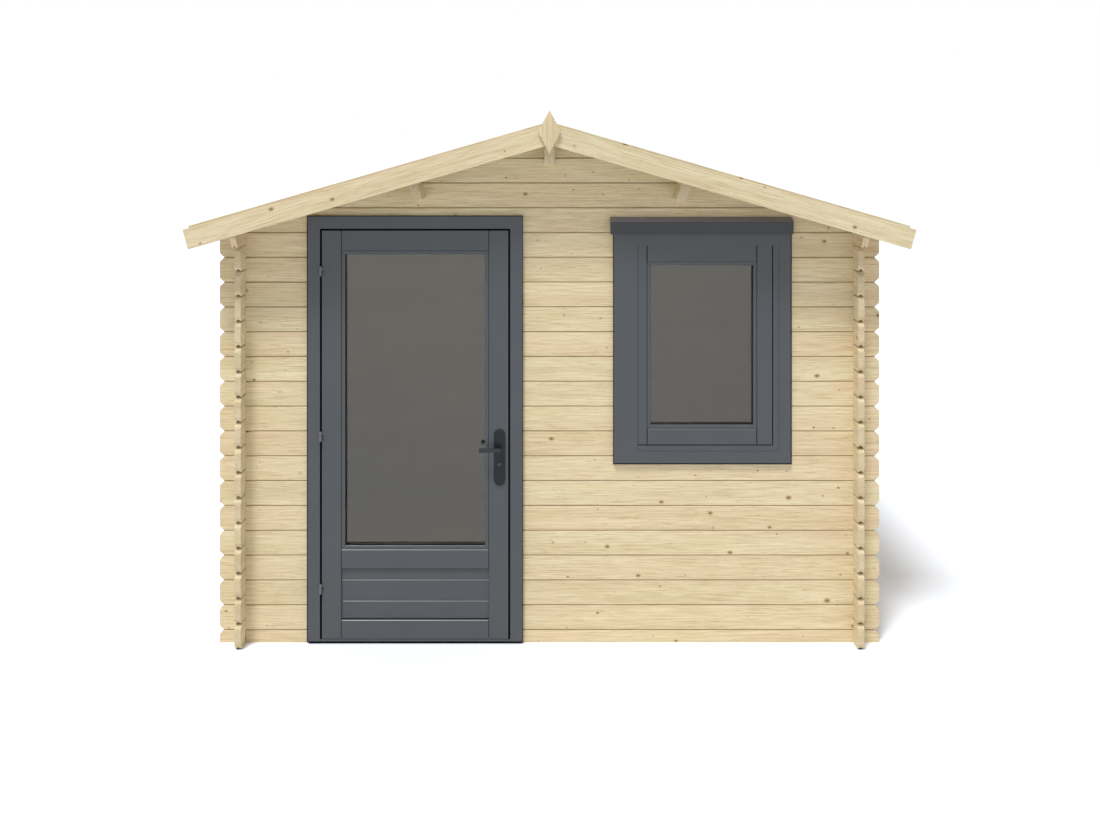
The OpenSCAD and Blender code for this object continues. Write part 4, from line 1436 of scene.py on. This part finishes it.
@dataclass
class WindowSash:
    """The fixed sash: two stiles and two rails round the pane."""

    left_stile: float = 0.040
    right_stile: float = 0.069
    joint: float = 0.003
    slit: float = 0.0014
    arris: float = 0.0016
    ledge: float = 0.006
    grow: float = 0.0022
    drop: float = 0.016

    def build(self) -> None:
        """Builds the sash's timber, tight to the frame at the left and at the top."""
        low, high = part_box("window_sash")
        bead_low, bead_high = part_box("window_beads")
        top = high.z + self.grow
        left, right = low.x + self.left_stile, high.x - self.right_stile
        for name, outer, inner in (
            ("sash_left_stile", low.x - self.grow, left),
            ("sash_right_stile", high.x, right),
        ):
            start, end = sorted((outer, inner))
            stile = box(
                name, (start, low.y, low.z), (end, high.y, top),
                (self.joint, {"x": inner, "y": low.y}),
                (self.arris, {"y": low.y, "z": low.z}),
                (self.arris, {"x": outer, "y": low.y}),
            )
            PAINT.dress(smooth(stile, CREASE), "house", "window_sash")
        left, right = left + self.slit, right - self.slit
        for name, base, height in (
            ("sash_bottom_rail", low.z, bead_low.z - self.drop - SLIT),
            ("sash_top_rail", bead_high.z + SLIT, top),
        ):
            chamfers = [(self.arris, {"y": low.y, "z": base, "along": Axis.X})]
            if name == "sash_bottom_rail":
                chamfers.append((self.ledge, {"y": low.y, "z": height, "along": Axis.X}))
            start, end = (left, low.y, base), (right, high.y, height)
            piece = rail(name, start, end, self.joint, *chamfers)
            RAIL_PAINT.dress(smooth(piece, CREASE), "house", "window_sash")


@dataclass
class Hinges:
    """Three screw-in hinges: each has a lower half in the post and an upper half in the leaf."""

    radius: float = 0.0065
    height: float = 0.044
    arris: float = 0.0012
    stem: float = 0.0032
    reach: float = 0.0395
    collar: float = 0.0046
    collar_length: float = 0.006
    collar_place: float = 0.0085
    collar_arris: float = 0.0008
    post_bearing: float = 135.0  # direction of a stem, in degrees from +X towards +Y
    leaf_bearing: float = 45.0

    def build(self) -> None:
        """Builds the halves on the post and on the leaf."""
        axis = joint_place("door_hinge")
        low, high = between("hinge_frame_halves", "hinge_leaf_halves")
        half = (self.height - SLIT) / 2
        lower, upper = [], []
        for base, (halves, rise, bearing) in product(
            (low.z, axis.z - self.height / 2, high.z - self.height),
            (
                (lower, half / 2, self.post_bearing),
                (upper, self.height - half / 2, self.leaf_bearing),
            ),
        ):
            middle, angle = Vector((axis.x, axis.y, base + rise)), math.radians(bearing)
            way, turn = Vector((math.cos(angle), math.sin(angle), 0)), (0, math.pi / 2, angle)
            barrel = rod("barrel", middle, self.radius, half, (0, 0, 0), 40)
            stem = rod("stem", middle + way * self.reach / 2, self.stem, self.reach, turn, 24)
            place = middle + way * self.collar_place
            collar = rod("collar", place, self.collar, self.collar_length, turn, 24)
            halves.extend((ease(barrel, self.arris, 3), stem, ease(collar, self.collar_arris)))
        HINGE_STEEL.dress(join(lower, "hinge_lower_halves"), "house", "hinge_frame_halves")
        HINGE_STEEL.dress(join(upper, "hinge_upper_halves"), "door", "hinge_leaf_halves")


@dataclass
class LockSet:
    """Long plates, levers and a profile cylinder on both faces of the lock stile."""

    thickness: float = 0.008
    rim: float = 0.0024
    end_flat: float = 0.0004
    barrel_bore: float = 0.0088
    barrel_arris: float = 0.0008
    key_half_width: float = 0.0012
    key_low: float = 0.0052
    key_high: float = 0.0045
    key_depth: float = 0.004
    screw: float = 0.0042
    screw_head: float = 0.0014
    screw_inset: float = 0.0185
    screw_sink: float = 0.0011
    screw_slot: float = 0.0005
    screw_arris: float = 0.0004
    sink_play: float = 0.0006
    sink_length: float = 0.003
    neck: float = 0.009
    neck_play: float = 0.0002
    neck_start: float = 0.016
    neck_lap: float = 0.002
    grip_depth: float = 0.012
    grip_end: float = 0.0098
    grip_tip: float = 0.003
    grip_arris: float = 0.0028
    slim: float = 0.0012
    spindle: float = 0.005
    spindle_inset: float = 0.002

    def build(self) -> None:
        """Builds plates, screws, cylinder and levers."""
        self.plates()
        self.cylinder()
        self.levers()

    def plates(self) -> None:
        """Makes plates with round ends and a softened rim, and their slotted screws."""
        low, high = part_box("handle_plates")
        barrel_low, barrel_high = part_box("lock_cylinder")
        middle, axis = (barrel_low + barrel_high) / 2, joint_place("handle_turn")
        plates, screws = [], []
        for face, inward in ((low.y, 1), (high.y, -1)):
            near, far = sorted((face, face + inward * self.thickness))
            plate = box(
                "plate", (low.x, near, low.z), (high.x, far, high.z),
                ((high.x - low.x) / 2 - self.end_flat, {"segments": 12, "along": Axis.Y}),
                (self.rim, {"segments": 4, "y": face}),
            )
            cut(
                plate,
                rod("neck_bore", axis, self.neck + self.neck_play, THROUGH, sides=48),
                rod("cylinder_bore", middle, self.barrel_bore, THROUGH, sides=48),
            )
            for height in (low.z + self.screw_inset, high.z - self.screw_inset):
                centre = Vector(((low.x + high.x) / 2, face, height))
                cut(plate, rod("sink", centre, self.screw + self.sink_play, self.sink_length))
                centre.y += inward * self.screw_sink
                head = rod("screw", centre, self.screw, self.screw_head, sides=24)
                centre.y -= inward * self.screw_head / 2
                reach = Vector((self.screw, self.screw_slot, self.screw_slot))
                cut(ease(head, self.screw_arris), box("slot", centre - reach, centre + reach))
                screws.append(head)
            plates.append(smooth(plate))
        PLATE_STEEL.dress(join(plates, "handle_plate_pair"), "door", "handle_plates")
        PLATE_STEEL.dress(join(screws, "plate_screws"), "door")

    def cylinder(self) -> None:
        """Makes the lock cylinder, with a keyway in both ends."""
        low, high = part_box("lock_cylinder")
        middle, width, depth = (low + high) / 2, self.key_half_width, self.key_depth
        barrel = rod("lock_barrel", middle, (high.x - low.x) / 2, high.y - low.y, sides=48)
        ease(barrel, self.barrel_arris)
        base, top = middle.z - self.key_low, middle.z + self.key_high
        for end in (low.y, high.y):
            key = block(end - depth, end + depth, middle.x - width, base, middle.x + width, top)
            cut(barrel, key)
        BRASS.dress(smooth(barrel), "door", "lock_cylinder")

    def levers(self) -> None:
        """Forges the two levers on their spindle."""
        low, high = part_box("door_levers")
        x, y, z = joint_place("handle_turn")
        length = high.y - low.y - 2 * self.spindle_inset
        parts = [rod("spindle", (x, y, z), self.spindle, length, sides=24)]
        for way, face in ((-1, low.y), (1, high.y)):
            inner, start = face - way * self.grip_depth, y + way * self.neck_start
            near, far = sorted((face, inner))
            grip = box(
                "grip", (low.x, near, low.z + self.slim), (high.x, far, high.z - self.slim),
                (self.grip_end, {"segments": 8, "x": high.x, "along": Axis.Y}),
                (self.grip_tip, {"segments": 4, "x": low.x, "along": Axis.Y}),
            )
            middle, length = (x, (start + inner) / 2, z), abs(inner - start) + self.neck_lap
            neck = rod("neck", middle, self.neck, length, sides=40)
            parts += [ease(grip, self.grip_arris, 4), neck]
        LEVER_STEEL.dress(join(parts, "lever_pair"), "handle", "door_levers")


# ------------------------------ The studio ------------------------------


@dataclass
class Studio:
    """A pale floor, a soft sun from the front left, an even sky and the camera."""

    sun_strength: float = 2.3
    sun_angle: float = 13.0
    light_way: Point = (0.195, 0.403, -0.894)
    sky: float = 0.5
    sun_place: Point = (-3, -5, 7)
    floor_size: float = 160.0
    floor_place: Point = (0, 30, -0.0005)
    floor_bounce: Colour = (0.85, 0.85, 0.85, 1.0)
    floor_seen: Colour = (0.98, 1.015, 1.09, 1.0)  # white where lit, a neutral shadow
    camera_place: Point = (0, -6.640, 2.285)
    sight: float = 500.0
    sensor: float = 36.0
    lens: float = 39.42
    shift: Point = (0.00045, -0.2477)

    def build(self) -> None:
        """Sets the stage, the light and the camera."""
        self.floor()
        self.sky_light()
        bpy.ops.object.light_add(type="SUN", location=self.sun_place)
        sun = bpy.context.active_object
        sun.data.energy, sun.data.angle = self.sun_strength, math.radians(self.sun_angle)
        sun.rotation_euler = Vector(self.light_way).to_track_quat("-Z", "Y").to_euler()
        bpy.ops.object.camera_add(location=self.camera_place, rotation=(math.pi / 2, 0, 0))
        camera = bpy.context.active_object
        camera.data.sensor_width, camera.data.lens = self.sensor, self.lens
        camera.data.shift_x, camera.data.shift_y = self.shift
        camera.data.clip_end = self.sight
        bpy.context.scene.camera = camera
        bpy.context.scene.view_settings.view_transform = "Standard"

    def seen(self, r: Recipe) -> Node:
        """Gives 1 for rays from the camera, from gloss and through glass.

        Args:
            r: The recipe that gets the nodes.

        Returns:
            The node with the share.
        """
        path = r.add("LightPath").outputs
        rays = r.add("Math MAXIMUM", path["Is Camera Ray"], path["Is Glossy Ray"])
        return r.add("Math MAXIMUM", rays, path["Is Transmission Ray"])

    def floor(self) -> None:
        """Lays a pale floor that keeps the shadow."""
        bpy.ops.mesh.primitive_plane_add(size=self.floor_size, location=self.floor_place)
        plane = settle("studio_floor")
        r = Recipe(bpy.data.materials.new("pale_studio_floor"))
        colour = r.add("Mix", self.seen(r), self.floor_bounce, self.floor_seen)
        plane.data.materials.append(r.close(r.add("BsdfDiffuse", colour)))

    def sky_light(self) -> None:
        """Fills in from all sides; white where it is seen."""
        r = Recipe(bpy.data.worlds.new("even_sky"))
        strength = r.add("Math MULTIPLY_ADD", self.seen(r), 1.0 - self.sky, self.sky)
        light = r.add("Background", (1, 1, 1, 1), strength)
        bpy.context.scene.world = r.close(light, "OutputWorld")


def main() -> None:
    """Builds the garden house, one sub-assembly after the other."""
    bpy.ops.object.select_all(action="DESELECT")
    sash = WindowSash()
    for assembly in (
        LogWalls(), FloorBoards(), Roof(), Joinery(), DoorLeaf(), sash,
        Glazing("door", "door"),
        Glazing("window", "house", head_chamfer=0.0006, drop=sash.drop),
        Hinges(), LockSet(), Studio(),
    ):
        LOG.info("%s", type(assembly).__name__)
        assembly.build()


if __name__ == "__main__":
    main()
